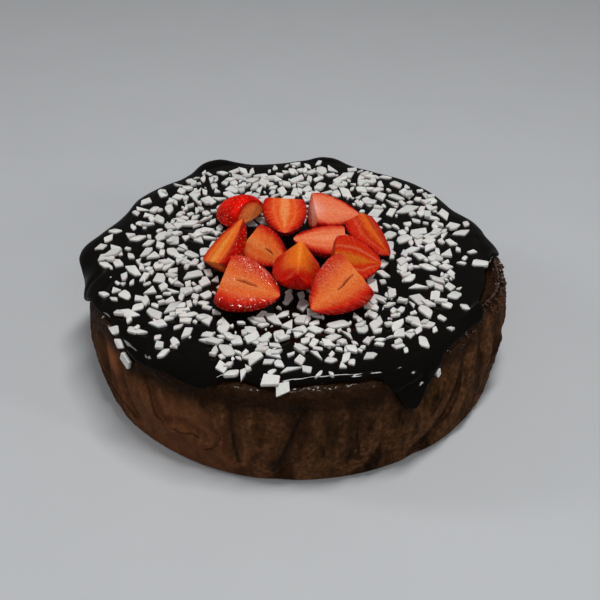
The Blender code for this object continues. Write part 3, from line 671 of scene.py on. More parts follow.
def strawberry_finish(name, berries):
    """Cut strawberry: red skin round the cut flesh, deep red patches with pale specks of painted glint, and
    wet drops that are thickest near the rim."""
    f = Finish(name + "_flesh")
    patch_red, painted_glint_pink = (0.50, 0.030, 0.012), (0.80, 0.27, 0.19)
    # Each piece's skin brightness; above 1 it is painted light on skin in shade.
    red = shade(berries.skin_colour, CUT_LOOKS[name][4])
    skin = f.ramp(f.noise(9.0, 3.0), (0.35, shade(red, 0.6)), (0.65, shade(red, 1.35)))
    flesh, fibre = flesh_tone(f, name, red)
    colour = f.mix(f.attribute("flesh"), skin, flesh)
    patch_and_glint = f.attribute("patch_and_glint")
    # Deep red patches; on the back right piece pale painted light.
    patchy = f.maths("MULTIPLY", patch_and_glint, f.ramp(f.noise(1.4, 3.0), (0.36, 0.5), (0.56, 0.95)))
    colour = f.mix(patchy, colour, PAINTED_LIGHT_PATCH.get(name, patch_red))
    # Pale specks of painted glint in the patches.
    painted_glint = f.maths("MULTIPLY", patch_and_glint, f.ramp(f.noise(0.9, 3.0), (0.50, 0.0), (0.62, 0.8)))
    colour = f.mix(painted_glint, colour, painted_glint_pink)
    drops = f.noise(1.0, 2.0)
    near_rim = f.ramp(f.attribute("depth"), (0.12, 1.0), (0.5, 0.16))
    wet = f.maths("MULTIPLY", f.ramp(drops, (0.58, 0.0), (0.68, 1.0)), near_rim)
    f.set(
        Base_Color=colour, Roughness=f.ramp(f.noise(3.0, 3.0), (0.3, 0.42), (0.7, 0.60)),
        Specular_IOR_Level=0.04, Subsurface_Weight=0.08, Subsurface_Scale=0.001,
        Coat_Weight=wet, Coat_Roughness=0.06,
    )
    f.bumps((fibre, 0.06), (f.noise(1.3, 3.0), 0.22), (drops, 0.6))
    return f.material


def plain_finish(name, colour, spread, rough, size_mm=3.0):
    """A cloudy colour with a light and a dark side, for small pieces and the floor."""
    f = Finish(name)
    dark, light = shade(colour, 1.0 - spread), shade(colour, 1.0 + spread)
    f.set(Base_Color=f.ramp(f.noise(size_mm, 3.0), (0.3, dark), (0.7, light)), Roughness=rough)
    f.bumps((f.noise(0.5 * size_mm, 3.0), 0.05))
    return f.material


def side_crumb(theta, z, points, crumb):
    """How far the side is pressed in, in millimetres: upright furrows, crumb, pits under the glaze and the
    ragged crust, as lumps of different sizes and stretches, less the splits, which stand out. Also the tone
    of each spot, about 0-1, which is high in the furrows and beside the splits and creases; the sponge's
    colour turns it into painted shade where it is low and a painted sheen where it is high, with painted
    highlight lines beside the splits and creases."""
    x, y = points[..., 0], points[..., 1]
    folds = 0.6 * lumps(x, y, 0.26 * z, 3.4, 3) + 0.4 * lumps(x, y, 0.45 * z, 1.8, 5)
    broad = lumps(x, y, 0.5 * z, 8.0, 8)
    furrow = 1.0 - 2.0 * np.abs(lumps(x, y, 0.35 * z, 6.0, 9))
    wrinkles = (0.9 * folds + 0.5 * broad + 0.6 * furrow) * (0.8 + 0.5 * bump(theta, 328, 30))
    grain = crumb * (0.30 * lumps(x, y, z, 2.4, 11) + 0.22 * lumps(x, y, z, 1.2, 12))
    high = smooth(z, 50.0, 57.0) * (1.0 - smooth(z, 62.0, 66.0))
    pits = 1.3 * np.maximum(lumps(x, y, z, 1.9, 21) - 0.30, 0.0) * high
    pits = pits * (bump(theta, 268, 28, 4.0) + bump(theta, 318, 20, 4.0))
    ragged = bump(theta, CRUST[0], CRUST[1] + 2, 6.0) * smooth(z, 56.0, 63.0)
    gouges = ragged * (1.2 * np.abs(lumps(x, y, z, 3.0, 31)) + 0.9 * lumps(x, y, z, 1.4, 32))
    pressed = (wrinkles + grain) * smooth(z, 0.5, 5.0) + pits + gouges
    for height, width, path in SPLITS:
        pressed = pressed - height * fade(near_side_path(theta, z, path), width)
    tone = 0.5 + 0.5 * folds + 0.2 * broad + 0.15 * furrow
    # Painted highlight lines on the flanks beside each split and crease.
    for _, width, path in SPLITS + CREASES:
        tone = tone + 0.4 * fade(near_side_path(theta, z, path) - 1.7 * width, 0.5 * width)
    return pressed, tone


def wet_marks(form, theta, q, z, rows):
    """Where the sponge is dark and wet, 0-1: below the lip of the glaze, on the inner side of the crust, in
    three patches of the front, and in the runs."""
    angle = theta[None, :] + 0.0 * z
    lip = form.top - form.edge - np.maximum(form.glaze_run(theta) - form.edge * math.pi / 2, 0.0)
    patch = 0.5 + 0.5 * lumps(rows[..., 0], rows[..., 1], 0.45 * z, 9.0, 41)
    crust = bump(angle, CRUST[0], CRUST[1], 6.0)
    inner = smooth(q, 0.80, 0.92) * (1.0 - smooth(q, 1.35, 1.75))
    wet = (1.0 - smooth(lip[None, :] - z, 1.0, 7.0 + 10.0 * patch)) * 0.85
    wet = wet * (1.0 - 0.8 * crust) + 0.9 * crust * inner[:, None]
    wet = wet + 0.5 * bump(angle, 277, 15) * smooth(z, 16.0, 44.0) * (0.5 + 0.5 * patch)
    wet = wet + 0.75 * bump(angle, 238, 15) * smooth(z, 44.0, 53.0) * patch
    wet = np.clip(wet + 0.5 * bump(angle, 289, 11) * smooth(z, 36.0, 52.0) * patch, 0.0, 0.9)
    for width, path in RUNS:
        wet = np.maximum(wet, 0.75 * np.exp(-((near_side_path(angle, z, path) / width) ** 4)))
    return wet


def split_shade_marks(form, angle, z):
    """Where the side is darkened with painted shade in a split or crease, 0-1."""
    split = np.zeros(z.shape)
    for _, width, path in SPLITS:
        split = np.maximum(split, 0.75 * fade(near_side_path(angle, z, path), 1.2 * width))
    for depth, width, path in form.creases:
        dark = 0.22 * depth * fade(near_side_path(angle, z, path), 0.7 * width)
        split = np.maximum(split, np.minimum(dark, 0.5))
    return split


def make_sponge(form, sponge):
    """The sponge as rings round the axis: each ring follows the skin at one q, pressed in by the fine relief
    where it isn't under the glaze."""
    theta = np.arange(SPONGE_COLUMNS) * 360.0 / SPONGE_COLUMNS
    q = np.concatenate([
        [0.3, 0.6, 0.85, 0.93], np.linspace(0.955, 1.0, 8), np.linspace(1.0, 2.0, 13)[1:],
        np.linspace(2.0, 3.0, 116)[1:], np.linspace(3.0, 4.0, 8)[1:], [4.35, 4.8],
    ])
    rows = form.lifted(theta[None, :], q[:, None], 0.0 * theta[None, :])
    z = rows[..., 2]
    angle = theta[None, :] + 0.0 * z
    pressed, tone = side_crumb(angle, z, rows, millimetres(sponge.crumb))
    shown = smooth(q, 0.955, 0.99) * (1.0 - smooth(q, 3.0, 3.9))
    under_glaze = form.past_edge(theta, form.glaze_run(theta) - 1.0)
    open_air = smooth(q[:, None] - under_glaze[None, :], 0.0, 0.05)
    rows = rows - grid_normals(rows) * (pressed * shown[:, None] * open_air)[..., None]
    warm = 0.75 * bump(angle, 215, 4.5) * smooth(z, 34.0, 44.0) * (1.0 - smooth(z, 54.0, 62.0))
    warm = np.clip(warm + 0.28 * bump(angle, 236, 24) * (1.0 - smooth(z, 38.0, 54.0)), 0.0, 0.9)
    marks = {
        "wet": wet_marks(form, theta, q, z, rows), "warm": warm, "split": split_shade_marks(form, angle, z),
        "tone": tone,
    }
    values = {key: np.concatenate([mark.ravel(), [0.0, 0.0]]) for key, mark in marks.items()}
    points, quads, tris = closed_surface(rows, (0.0, 0.0, form.top), (0.0, 0.0, 0.0))
    piece = new_piece("sponge", points, [quads, tris], sponge_finish(sponge), values)
    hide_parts("cake")


def glaze_columns():
    """Angles of the glaze's columns, closer together at the drips: even steps of the summed closeness."""
    fine = np.linspace(0.0, 360.0, 3601)
    close = 1.0 + swell(fine, CLOSER)
    total = np.concatenate([[0.0], np.cumsum(0.5 * (close[1:] + close[:-1]))])
    return np.interp(np.linspace(0.0, total[-1], GLAZE_COLUMNS + 1)[:-1], total, fine)


def glaze_rings(form, theta, run):
    """Rings of the glaze: out over the flat, round the edge to the lip and back beneath. Returns the rings,
    how many millimetres each point lies past the edge's start, and how many rings are on the outside."""
    start = np.minimum(run, 0.0) - 12.0
    to_lip = 0.8 + 0.2 * np.sin(np.linspace(0.0, math.pi / 2, 22))
    share = np.concatenate([np.linspace(0.0, 0.8, 34)[:-1], to_lip])
    back = np.array([1.0, 0.97, 0.9, 0.75, 0.6, 0.45, 0.3, 0.15, 0.0])
    outer_mm = start + (run - start) * share[:, None]
    inner_mm = start + 9.0 + (run - start - 9.0) * back[:, None]
    first = form.past_edge(theta, start)
    level = 0.0 * theta + form.flat - form.top
    top = [form.lifted(theta, first * f, level) for f in np.linspace(0.06, 0.97, 26)]
    outer = [form.lifted(theta, form.past_edge(theta, m), form.glaze_lift(theta, m, run)) for m in outer_mm]
    inner = [form.lifted(theta, form.past_edge(theta, m), form.under_lift(m)) for m in inner_mm]
    inner.append(form.lifted(theta, first * 0.5, 0.0 * theta + form.gap))
    far = np.full((1, len(theta)), -30.0)
    mm = np.vstack([np.repeat(far, len(top), axis=0), outer_mm, inner_mm, far])
    return np.array(top + outer + inner), mm, len(top) + len(outer)


def make_glaze(form, glaze):
    """The glaze as rings, with low waves and folds pressed into its outside. The waves are calm at the
    front drip."""
    theta = glaze_columns()
    run = form.glaze_run(theta)
    rows, mm, outside = glaze_rings(form, theta, run)
    x, y, z = rows[..., 0], rows[..., 1], rows[..., 2]
    angle = theta[None, :] + 0.0 * mm
    calm = 1.0 - 0.85 * bump(angle, 300, 9)
    wave = 0.16 * lumps(x, y, z, 26.0, 51) + 0.06 * calm * lumps(x, y, z, 9.0, 52)
    wave = wave + 0.22 * calm * smooth(mm, -9.0, -2.0) * lumps(x, y, 0.6 * z, 6.5, 53)
    for depth, width, path in GLAZE_FOLDS:
        wave = wave + millimetres(glaze.folds) * depth * fade(near_side_path(angle, mm, path), width)
    wave = wave * smooth(run[None, :] - mm, 0.0, 2.0) * (np.arange(len(rows)) < outside)[:, None]
    rows = rows - grid_normals(rows) * wave[..., None]
    points, quads, tris = closed_surface(rows, (0.0, 0.0, form.flat), (0.0, 0.0, form.top + form.gap))
    piece = new_piece("poured_glaze", points, [quads, tris], glaze_finish(glaze))
    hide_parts("glaze")


def berry_outline(u, blunt):
    """A strawberry's radius along its length as a share of the widest: a shoulder times a power curve."""
    grow = 0.86 + 0.14 * np.sin(math.pi / 2 * np.clip(u / 0.28, 0.0, 1.0))
    return grow * np.clip(1.0 - np.clip((u - 0.05) / 0.95, 0.0, 1.0) ** blunt, 0.0, None) ** 0.62


def turned(heading, dip, roll):
    """The rotation of a strawberry piece: roll about its core, then dip of the tip, then heading."""
    h, d, r = np.radians([heading, dip, roll])
    about_z = np.array([[np.cos(h), -np.sin(h), 0], [np.sin(h), np.cos(h), 0], [0, 0, 1]])
    about_y = np.array([[np.cos(d), 0, np.sin(d)], [0, 1, 0], [-np.sin(d), 0, np.cos(d)]])
    about_x = np.array([[1, 0, 0], [0, np.cos(r), -np.sin(r)], [0, np.sin(r), np.cos(r)]])
    return about_z @ about_y @ about_x


def berry_depth(points, at, heading, dip, roll, length, radius, span, blunt):
    """How deep points lie inside a strawberry piece, in millimetres, negative outside."""
    local = (points - np.array(at)) @ turned(heading, dip, roll)
    along = local[..., 0]
    off = np.hypot(local[..., 1], local[..., 2])
    skin_gap = (radius * berry_outline(np.clip(along / length, 0, 1), blunt) - off) * 0.85
    skin_gap = np.where(along > length, length - along - 0.3 * off, skin_gap)
    away = math.radians(span) / 2 - np.abs(np.arctan2(local[..., 1], -local[..., 2]))
    cut_gap = off * np.sin(np.clip(away, -math.pi / 2, math.pi / 2))
    return np.minimum(np.minimum(along, skin_gap), cut_gap)


def seed_places(length, radius, span, blunt, spacing, rng):
    """Length shares and angles of the seeds on the skin: staggered rows a spacing apart, shaken a little."""
    places = []
    rows = int(length / (0.85 * spacing))
    for i in range(1, rows):
        u = i / rows + rng.uniform(-0.01, 0.01)
        r = radius * float(berry_outline(np.array([u]), blunt)[0])
        half = math.radians(span) / 2 - 1.0 / max(r, 2.0)
        count = int(2 * half * r / spacing)
        if count < 1 or u > 0.95:
            continue
        steps = (np.arange(count) + 0.5 * (i % 2) + 0.25 + rng.uniform(-0.12, 0.12, count)) / count
        places += [(u, -math.pi / 2 - half + 2 * half * s) for s in steps]
    return np.array(places)


def berry_rings(length, radius, span, blunt):
    """Rings along the core of a cut piece, from the stalk end. Each ring runs from the core out along one
    cut, round the skin and back along the other; the stalk end is closed by shrinking rings. Corners are
    rounded by averaging neighbours. Returns the rings, the middle of the stalk end, each column's angle, and
    which points lie past the stalk end's face and on the skin."""
    u = np.sin(np.linspace(0.0, math.pi / 2, 66))[:-1]
    half = math.radians(span) / 2
    cut = np.linspace(0.0, 1.0, CUT_COLUMNS)
    t = np.concatenate([cut, np.ones(SKIN_COLUMNS), cut[::-1][:-1]])
    arc = np.linspace(-math.pi / 2 - half, -math.pi / 2 + half, SKIN_COLUMNS + 2)
    a = np.concatenate([np.full(CUT_COLUMNS, arc[0]), arc[1:-1], np.full(CUT_COLUMNS - 1, arc[-1])])
    r = radius * berry_outline(u, blunt)
    ring = np.stack([
        np.repeat(length * u[:, None], len(t), 1), r[:, None] * t * np.cos(a), r[:, None] * t * np.sin(a)
    ], -1)
    middle = ring[0].mean(axis=0)
    cap = [middle + s * (ring[0] - middle) for s in (0.12, 0.3, 0.5, 0.68, 0.82, 0.92, 0.97)]
    rows = np.concatenate([np.array(cap), ring])
    k = np.arange(len(t))
    first, last = CUT_COLUMNS - 1, CUT_COLUMNS + SKIN_COLUMNS
    corner = fade(k - first, 2.0) + fade(k - last, 2.0)
    core_edge = fade(np.minimum(k, len(t) - k), 1.6) * (span < 179)
    for _ in range(7):
        mean = 0.5 * (np.roll(rows, 1, axis=1) + np.roll(rows, -1, axis=1))
        rows = rows + (0.6 * corner + 0.4 * core_edge)[None, :, None] * (mean - rows)
    i = np.arange(len(rows))
    shoulder = fade(i - len(cap), 1.6)[1:-1, None, None]
    for _ in range(5):
        mean = 0.5 * (rows[2:] + rows[:-2])
        rows[1:-1] = rows[1:-1] + 0.6 * shoulder * (mean - rows[1:-1])
    past_cap = (i >= len(cap))[:, None]
    on_skin = ((k > first) & (k < last)).astype(float)[None, :] * past_cap
    return rows, middle, a, past_cap, on_skin


def slit_mark(slit, share, across, length):
    """How near points are to a slit, 0-1: a slightly wavy line, widest in its middle."""
    u0, c0, u1, c1, _ = slit
    wobble = 0.25 * np.sin(11.0 * share) + 0.12 * np.sin(29.0 * share + 1.0)
    near = near_path(share * length, across + wobble, ((u0 * length, c0), (u1 * length, c1)))
    return fade(near, 0.16 + 0.30 * np.sin(math.pi * np.clip((share - u0) / (u1 - u0), 0.0, 1.0)))


def berry_rows(row, berries, rng):
    """The rings of a cut piece with the seeds' dimples, lumps, fibres and slit pressed in along the normals.
    Returns the rings, the middle of the stalk end, the point values and the seeds' places."""
    name, heading, (length, radius, span, blunt) = row[0], row[2], row[5:]
    rows, middle, a, past_cap, on_skin = berry_rings(length, radius, span, blunt)
    flesh = 1.0 - on_skin
    share = np.clip(rows[..., 0] / length, 0.0, 1.0)
    off = np.hypot(rows[..., 1], rows[..., 2])
    rim = np.maximum(radius * berry_outline(share, blunt), 0.3)
    across = np.where(np.arange(len(a)) < (len(a) + 1) // 2, -1.0, 1.0)[None, :] * off
    angle = np.where(on_skin > 0, a[None, :], 0.0)
    seeds = seed_places(length, radius, span, blunt, millimetres(berries.seed_spacing), rng)
    dent = np.zeros(share.shape)
    for su, sa in seeds:
        dent = np.maximum(dent, fade(np.hypot((share - su) * length, (angle - sa) * rim), 0.95))
    slit, slit_depth = np.zeros(share.shape), 0.0
    if name in SLITS:
        slit, slit_depth = slit_mark(SLITS[name], share, across, length) * flesh, SLITS[name][4]
    x, y, z = rows[..., 0], rows[..., 1], rows[..., 2]
    dip = -millimetres(berries.seed_depth) * dent * on_skin
    dip = dip + on_skin * 0.22 * lumps(x, y, z, 4.5, heading + 1)
    dip = dip + flesh * 0.16 * lumps(x, y, z, 3.6, heading + 2)
    dip = dip + flesh * 0.07 * lumps(0.5 * x + 0.4 * off, 0.3 * off, z, 0.9, heading + 3)
    dip = dip - flesh * 0.3 * np.sin(math.pi * np.clip(off / rim, 0, 1)) ** 2 * past_cap - slit_depth * slit
    dip = dip * np.clip((1.0 - share) / 0.05, 0.0, 1.0)
    redder = TIP_RED.get(name, 0.2) * smooth(share, 0.4, 1.0) - RED_LEAN.get(name, 0.0) * across / radius
    patch_and_glint = np.zeros(share.shape)
    for fu, fa, size, strength in PATCHES_AND_GLINTS.get(name, ()):
        patch_and_glint = np.maximum(patch_and_glint, strength * fade(np.hypot((share - fu) * length, across - fa), size))
    values = {
        "flesh": flesh, "depth": np.clip(1.0 - off / rim - redder, 0.0, 1.0) * flesh,
        "along": share * length * MM, "across": across * MM,
        "slit": np.clip(1.3 * slit, 0.0, 0.9), "patch_and_glint": patch_and_glint,
    }
    return rows - grid_normals(rows) * dip[..., None], middle, values, seeds


def lay_seeds(seeds, row):
    """Points and faces of the seeds of one piece: flattened six-sided grains set in their dimples."""
    _, at, heading, dip, roll, length, radius, _, blunt = row
    turn = np.arange(6) * math.pi / 3
    ring = np.stack([0.55 * np.cos(turn), 0.36 * np.sin(turn), 0 * turn], -1)
    top, upper, lower, bottom = (np.array([0.0, 0.0, z]) for z in (0.30, 0.17, -0.12, -0.25))
    grain = np.vstack([[top], ring + upper, ring + lower, [bottom]])
    u, a = seeds[:, 0], seeds[:, 1]
    r = radius * berry_outline(u, blunt)
    slope = (radius * berry_outline(u + 0.01, blunt) - r) / (0.01 * length)
    out = np.stack([-slope, np.cos(a), np.sin(a)], -1)
    out = out / np.linalg.norm(out, axis=1, keepdims=True)
    side = np.stack([0 * a, -np.sin(a), np.cos(a)], -1)
    ahead = np.cross(side, out)
    base = np.stack([u * length, r * np.cos(a), r * np.sin(a)], -1) - 0.25 * out
    points = base[:, None] + grain @ np.stack([ahead, side, out], 1)
    points = points.reshape(-1, 3) @ turned(heading, dip, roll).T + np.array(at)
    j = np.arange(6)
    k = (j + 1) % 6
    tris = np.vstack([np.stack([0 * j, 1 + j, 1 + k], -1), np.stack([7 + j, 13 + 0 * j, 7 + k], -1)])
    quads = np.stack([1 + j, 7 + j, 7 + k, 1 + k], -1)
    return points, copied_faces(quads, len(seeds), len(grain)), copied_faces(tris, len(seeds), len(grain))


def make_strawberries(berries):
    """Every cut piece over its own solid, and the seeds of all of them as one piece."""
    seed_points, seed_quads, seed_tris, total = [], [], [], 0
    for index, row in enumerate(BERRIES):
        name, at, heading, dip, roll, length = row[:6]
        rows, middle, values, seeds = berry_rows(row, berries, np.random.default_rng(60 + index))
        points, quads, tris = closed_surface(rows, middle, np.array([length, 0.0, 0.0]))
        points = points @ turned(heading, dip, roll).T + np.array(at)
        ends = {
            "flesh": (1.0, 0.0), "depth": (0.5, 0.0), "along": (0.0, length * MM), "across": (0.0, 0.0),
            "slit": (0.0, 0.0), "patch_and_glint": (values["patch_and_glint"][0].mean(), 0.0),
        }
        values = {key: np.concatenate([value.ravel(), ends[key]]) for key, value in values.items()}
        piece = new_piece(name + "_cut", points, [quads, tris], strawberry_finish(name, berries), values)
        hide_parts(name)
        grains, quads, tris = lay_seeds(seeds, row)
        seed_points.append(grains)
        seed_quads.append(quads + total)
        seed_tris.append(tris + total)
        total += len(grains)
    look = plain_finish("strawberry_seed", tuple(berries.seed_colour), 0.35, 0.35, 2.0)
    faces = [np.vstack(seed_quads), np.vstack(seed_tris)]
    piece = new_piece("strawberry_seeds", np.vstack(seed_points), faces, look)


def chip_patches():
    """Full and bare patches as arrays of x, y, size and strength; the bare ones include seeded clearings."""
    rng = np.random.default_rng(23)
    count, size, strength = CLEARINGS
    radius, angle = np.sqrt(rng.uniform(44.0**2, 112.0**2, count)), rng.uniform(0.0, 360.0, count)
    seeded = np.stack([angle, radius, size * rng.uniform(0.7, 1.4, count), np.full(count, strength)], -1)
    sets = []
    for rows in (np.array(FULL), np.vstack([BARE, seeded])):
        a = np.radians(rows[:, 0])
        sets.append(np.stack([rows[:, 1] * np.cos(a), rows[:, 1] * np.sin(a), rows[:, 2], rows[:, 3]]))
    return sets


def chip_share(x, y, patches):
    """The share of the glaze that chips hide at a spot: a broad ring with bare and full patches."""
    r = math.hypot(x, y)
    share = 0.9 * smooth(r, 34.0, 50.0) * (1.0 - 0.5 * smooth(r, 92.0, 106.0))
    share = share * (1.0 - smooth(r, 109.0, 117.0))
    full, bare = patches
    share = share + np.sum(full[3] * np.exp(-((x - full[0]) ** 2 + (y - full[1]) ** 2) / full[2] ** 2))
    return share * np.prod(1.0 - bare[3] * np.exp(-((x - bare[0]) ** 2 + (y - bare[1]) ** 2) / bare[2] ** 2))


def scatter_chips(form, count):
    """Places every chip: the ones near the front edge, then the others from the largest down. Returns rows
    of x, y, length, width, turn, layer, lean, lean way."""
    rng = np.random.default_rng(41)
    length = np.sort(np.clip(rng.lognormal(math.log(6.8), 0.3, count), 3.2, 12.5))[::-1]
    patches = chip_patches()
    placed = []
    spots, reach, layers = np.zeros((0, 2)), np.zeros(0), np.zeros(0)
    for angle, radius, long, wide, turn, lean in EDGE_CHIPS:
        a, t = math.radians(angle), math.radians(turn)
        middle = np.array([radius * math.cos(a), radius * math.sin(a)])
        side = 0.5 * (long - wide) * np.array([math.cos(t), math.sin(t)])
        spots = np.vstack([spots, middle - side, middle, middle + side])
        reach = np.concatenate([reach, np.full(3, 0.5 * wide)])
        layers = np.concatenate([layers, np.zeros(3)])
        placed.append((middle[0], middle[1], long, wide, t, 0, lean, a))
    for long in length:
        wide = float(np.clip(long * rng.uniform(0.48, 0.84), 2.4, 7.0))
        for attempt in range(60):
            r, a = math.sqrt(rng.uniform(36.0**2, 117.0**2)), rng.uniform(0.0, 2 * math.pi)
            turn, keep = rng.uniform(0.0, math.pi), rng.uniform(0.0, 1.0)
            x, y = r * math.cos(a), r * math.sin(a)
            if keep > chip_share(x, y, patches):
                continue
            inner = form.wall_radius(math.degrees(a) % 360.0, form.top - form.edge) - 4.0
            stop = inner + min(0.0, float(form.glaze_run(np.array([math.degrees(a)]))[0]))
            if r + 0.5 * long > stop:
                continue
            side = 0.5 * (long - wide)
            half_way = np.array([side * math.cos(turn), side * math.sin(turn)])
            ends = np.array([[x, y]]) + np.outer([-1.0, 0.0, 1.0], half_way)
            top = 1 if attempt >= 12 and rng.uniform() < 0.5 else 0
            gap = np.linalg.norm(spots[:, None] - ends[None], axis=2).min(axis=1) - reach - 0.5 * wide
            same = gap[layers == top]
            if len(same) and same.min() < -0.45:
                continue
            if top and (gap.min() > -0.8 or (gap < -0.3).sum() > 9):
                continue
            around = 0.5 * wide * np.array([[1.0, 0.0], [0.0, 1.0], [-1.0, 0.0], [0.0, -1.0]])
            body = np.concatenate([ends + step for step in around])
            up = form.flat + (2.6 if top == 0 else 4.4)
            tall = np.concatenate([np.c_[body, np.full(len(body), h)] for h in (form.flat, up)])
            if max(float(berry_depth(tall, *row[1:]).max()) for row in BERRIES) > -0.6:
                continue
            spots = np.vstack([spots, ends])
            reach = np.concatenate([reach, np.full(3, 0.5 * wide)])
            layers = np.concatenate([layers, np.full(3, top)])
            lean, way = rng.uniform(0, 5 + 9 * top), rng.uniform(0, 6.3)
            placed.append((x, y, long, wide, turn, top, lean, way))
            break
    return np.array(placed)


def chip_corners(index, long, wide):
    """The uneven outline of a broken flake: a skewed oblong, many with a corner broken off or missing."""
    rng = np.random.default_rng(1000 + index)
    corners = np.array([[-1.0, -1.0], [1.0, -1.0], [1.0, 1.0], [-1.0, 1.0]]) * rng.uniform(0.6, 1.1, (4, 2))
    corners = 0.5 * np.array([long, wide]) * corners
    corners[:, 0] += rng.uniform(-0.2, 0.2) * long * np.array([-1.0, -1.0, 1.0, 1.0])
    k = int(rng.integers(0, 4))
    way = rng.uniform()
    if way < 0.22:
        corners = np.delete(corners, k, axis=0)
    elif way < 0.65:
        before = corners[k] + rng.uniform(0.15, 0.5) * (corners[k - 1] - corners[k])
        after = corners[k] + rng.uniform(0.15, 0.5) * (corners[(k + 1) % 4] - corners[k])
        corners = np.vstack([corners[:k], before, after, corners[k + 1:]])
    return corners


def chip_frame(form, chip):
    """The middle of a chip lying on the flat glaze, and its directions along, across and up."""
    x, y, _, _, turn, layer, lean, way = chip
    lean = math.radians(lean)
    up = np.array([math.sin(lean) * math.cos(way), math.sin(lean) * math.sin(way), math.cos(lean)])
    along = np.array([math.cos(turn), math.sin(turn), 0.0])
    across = np.cross(up, along)
    across = across / np.linalg.norm(across)
    return np.array([x, y, form.flat + 1.3 * layer]), np.cross(across, up), across, up


def rim_frame(form, angle, mm, turn):
    """The same four vectors for a chip stuck on the rounded, glazed edge."""
    theta = np.array([float(angle)])
    run = form.glaze_run(theta)

    def spot(a, m):
        m = np.array([m])
        return form.lifted(a, form.past_edge(a, m), form.glaze_lift(a, m, run))[0]

    down = spot(theta, mm + 1.5) - spot(theta, mm - 1.5)
    side = spot(theta + 1.5, mm) - spot(theta - 1.5, mm)
    up = np.cross(down, side)
    up = up / np.linalg.norm(up)
    side = side / np.linalg.norm(side)
    down = np.cross(side, up)
    t = math.radians(turn)
    along = math.cos(t) * side + math.sin(t) * down
    return spot(theta, mm), along, np.cross(up, along), up


def chip_rings(corners, vectors, thick, round_top, rng):
    """Rings of a chip from its sunk foot to its top: the outline with narrowly cut corners, drawn in
    towards the top by fixed shares, shaken a little and sloped a little. Returns ring points, top point
    and foot point."""
    middle, along, across, up = vectors
    before, after = np.roll(corners, 1, axis=0), np.roll(corners, -1, axis=0)
    cut = 0.05 + 0.12 * round_top
    outline = np.stack([corners + cut * (before - corners), corners + cut * (after - corners)], 1)
    outline = outline.reshape(-1, 2)
    levels = np.array([-0.8, 0.45 * thick, 0.86 * thick, thick])[:, None]
    drawn = np.array([1.0, 1.0, 0.985 - 0.03 * round_top, 0.94 - 0.14 * round_top])
    flat = outline[None] * drawn[:, None, None] * rng.uniform(0.965, 1.03, (1, len(outline), 1))
    slope = rng.uniform(-0.05, 0.05, 2)
    uneven = flat @ slope + rng.uniform(-0.06, 0.06, (1, len(outline)))
    height = levels + uneven * (levels > 0)
    rings = middle + flat[..., :1] * along + flat[..., 1:] * across + height[..., None] * up
    return rings, middle + (thick + 0.25 * round_top) * up, middle - 0.8 * up


def laid_chips(form, chips, rng):
    """Outline, directions and thickness of every chip: the scattered ones, those stuck on the edge, and
    small bits at seeded places between them."""
    thick = millimetres(chips.thickness)
    rows = scatter_chips(form, chips.count)
    patches = chip_patches()
    laid = []
    for i, chip in enumerate(rows):
        tall = min(thick, 0.2 + 0.36 * chip[3])
        laid.append((chip_corners(i, chip[2], chip[3]), chip_frame(form, chip), tall))
    for i, (angle, mm, long, wide, turn) in enumerate(RIM_CHIPS):
        laid.append((chip_corners(5000 + i, long, wide), rim_frame(form, angle, mm, turn), thick))
    while len(laid) < len(rows) + len(RIM_CHIPS) + chips.bits:
        r, a = math.sqrt(rng.uniform(46.0**2, 108.0**2)), rng.uniform(0.0, 2 * math.pi)
        spot = np.array([r * math.cos(a), r * math.sin(a)])
        clear = min(float(np.hypot(rows[:, 0] - spot[0], rows[:, 1] - spot[1]).min()), 9.0)
        above = np.array([[*spot, form.flat + 1.0]])
        inside = max(float(berry_depth(above, *row[1:])[0]) for row in BERRIES)
        if rng.uniform() > chip_share(*spot, patches) + 0.1 or clear < 3.2 or inside > -1.5:
            continue
        long = rng.uniform(1.3, 3.0)
        wide = long * rng.uniform(0.6, 0.9)
        chip = (*spot, long, wide, rng.uniform(0, 3.1), 0, rng.uniform(0, 12), rng.uniform(0, 6.3))
        laid.append((chip_corners(9000 + len(laid), long, wide), chip_frame(form, chip), 0.45 * long))
    return laid


def make_chips(form, chips):
    """All chips in one mesh, each with a tone of its own and painted shade at its foot."""
    rng = np.random.default_rng(91)
    points, quads, tris, tone, foot, total = [], [], [], [], [], 0
    for corners, vectors, tall in laid_chips(form, chips, rng):
        tall = tall * rng.uniform(0.9, 1.08)
        rings, top, low = chip_rings(corners, vectors, tall, float(rng.uniform() < 0.35), rng)
        n = rings.shape[1]
        chip_points, chip_quads, chip_tris = closed_surface(rings, low, top)
        points.append(chip_points)
        quads.append(chip_quads + total)
        tris.append(chip_tris + total)
        tone.append(np.full(len(chip_points), rng.uniform()))
        foot.append(np.concatenate([np.full(n, 1.0), np.full(n, 0.15), np.zeros(2 * n), [1.0, 0.0]]))
        total += len(chip_points)
    values = {"tone": np.concatenate(tone), "foot": np.concatenate(foot)}
    faces = [np.vstack(quads), np.vstack(tris)]
    piece = new_piece("white_chips", np.vstack(points), faces, chip_finish(chips), values, sharp=32.0)
    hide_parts("glaze")


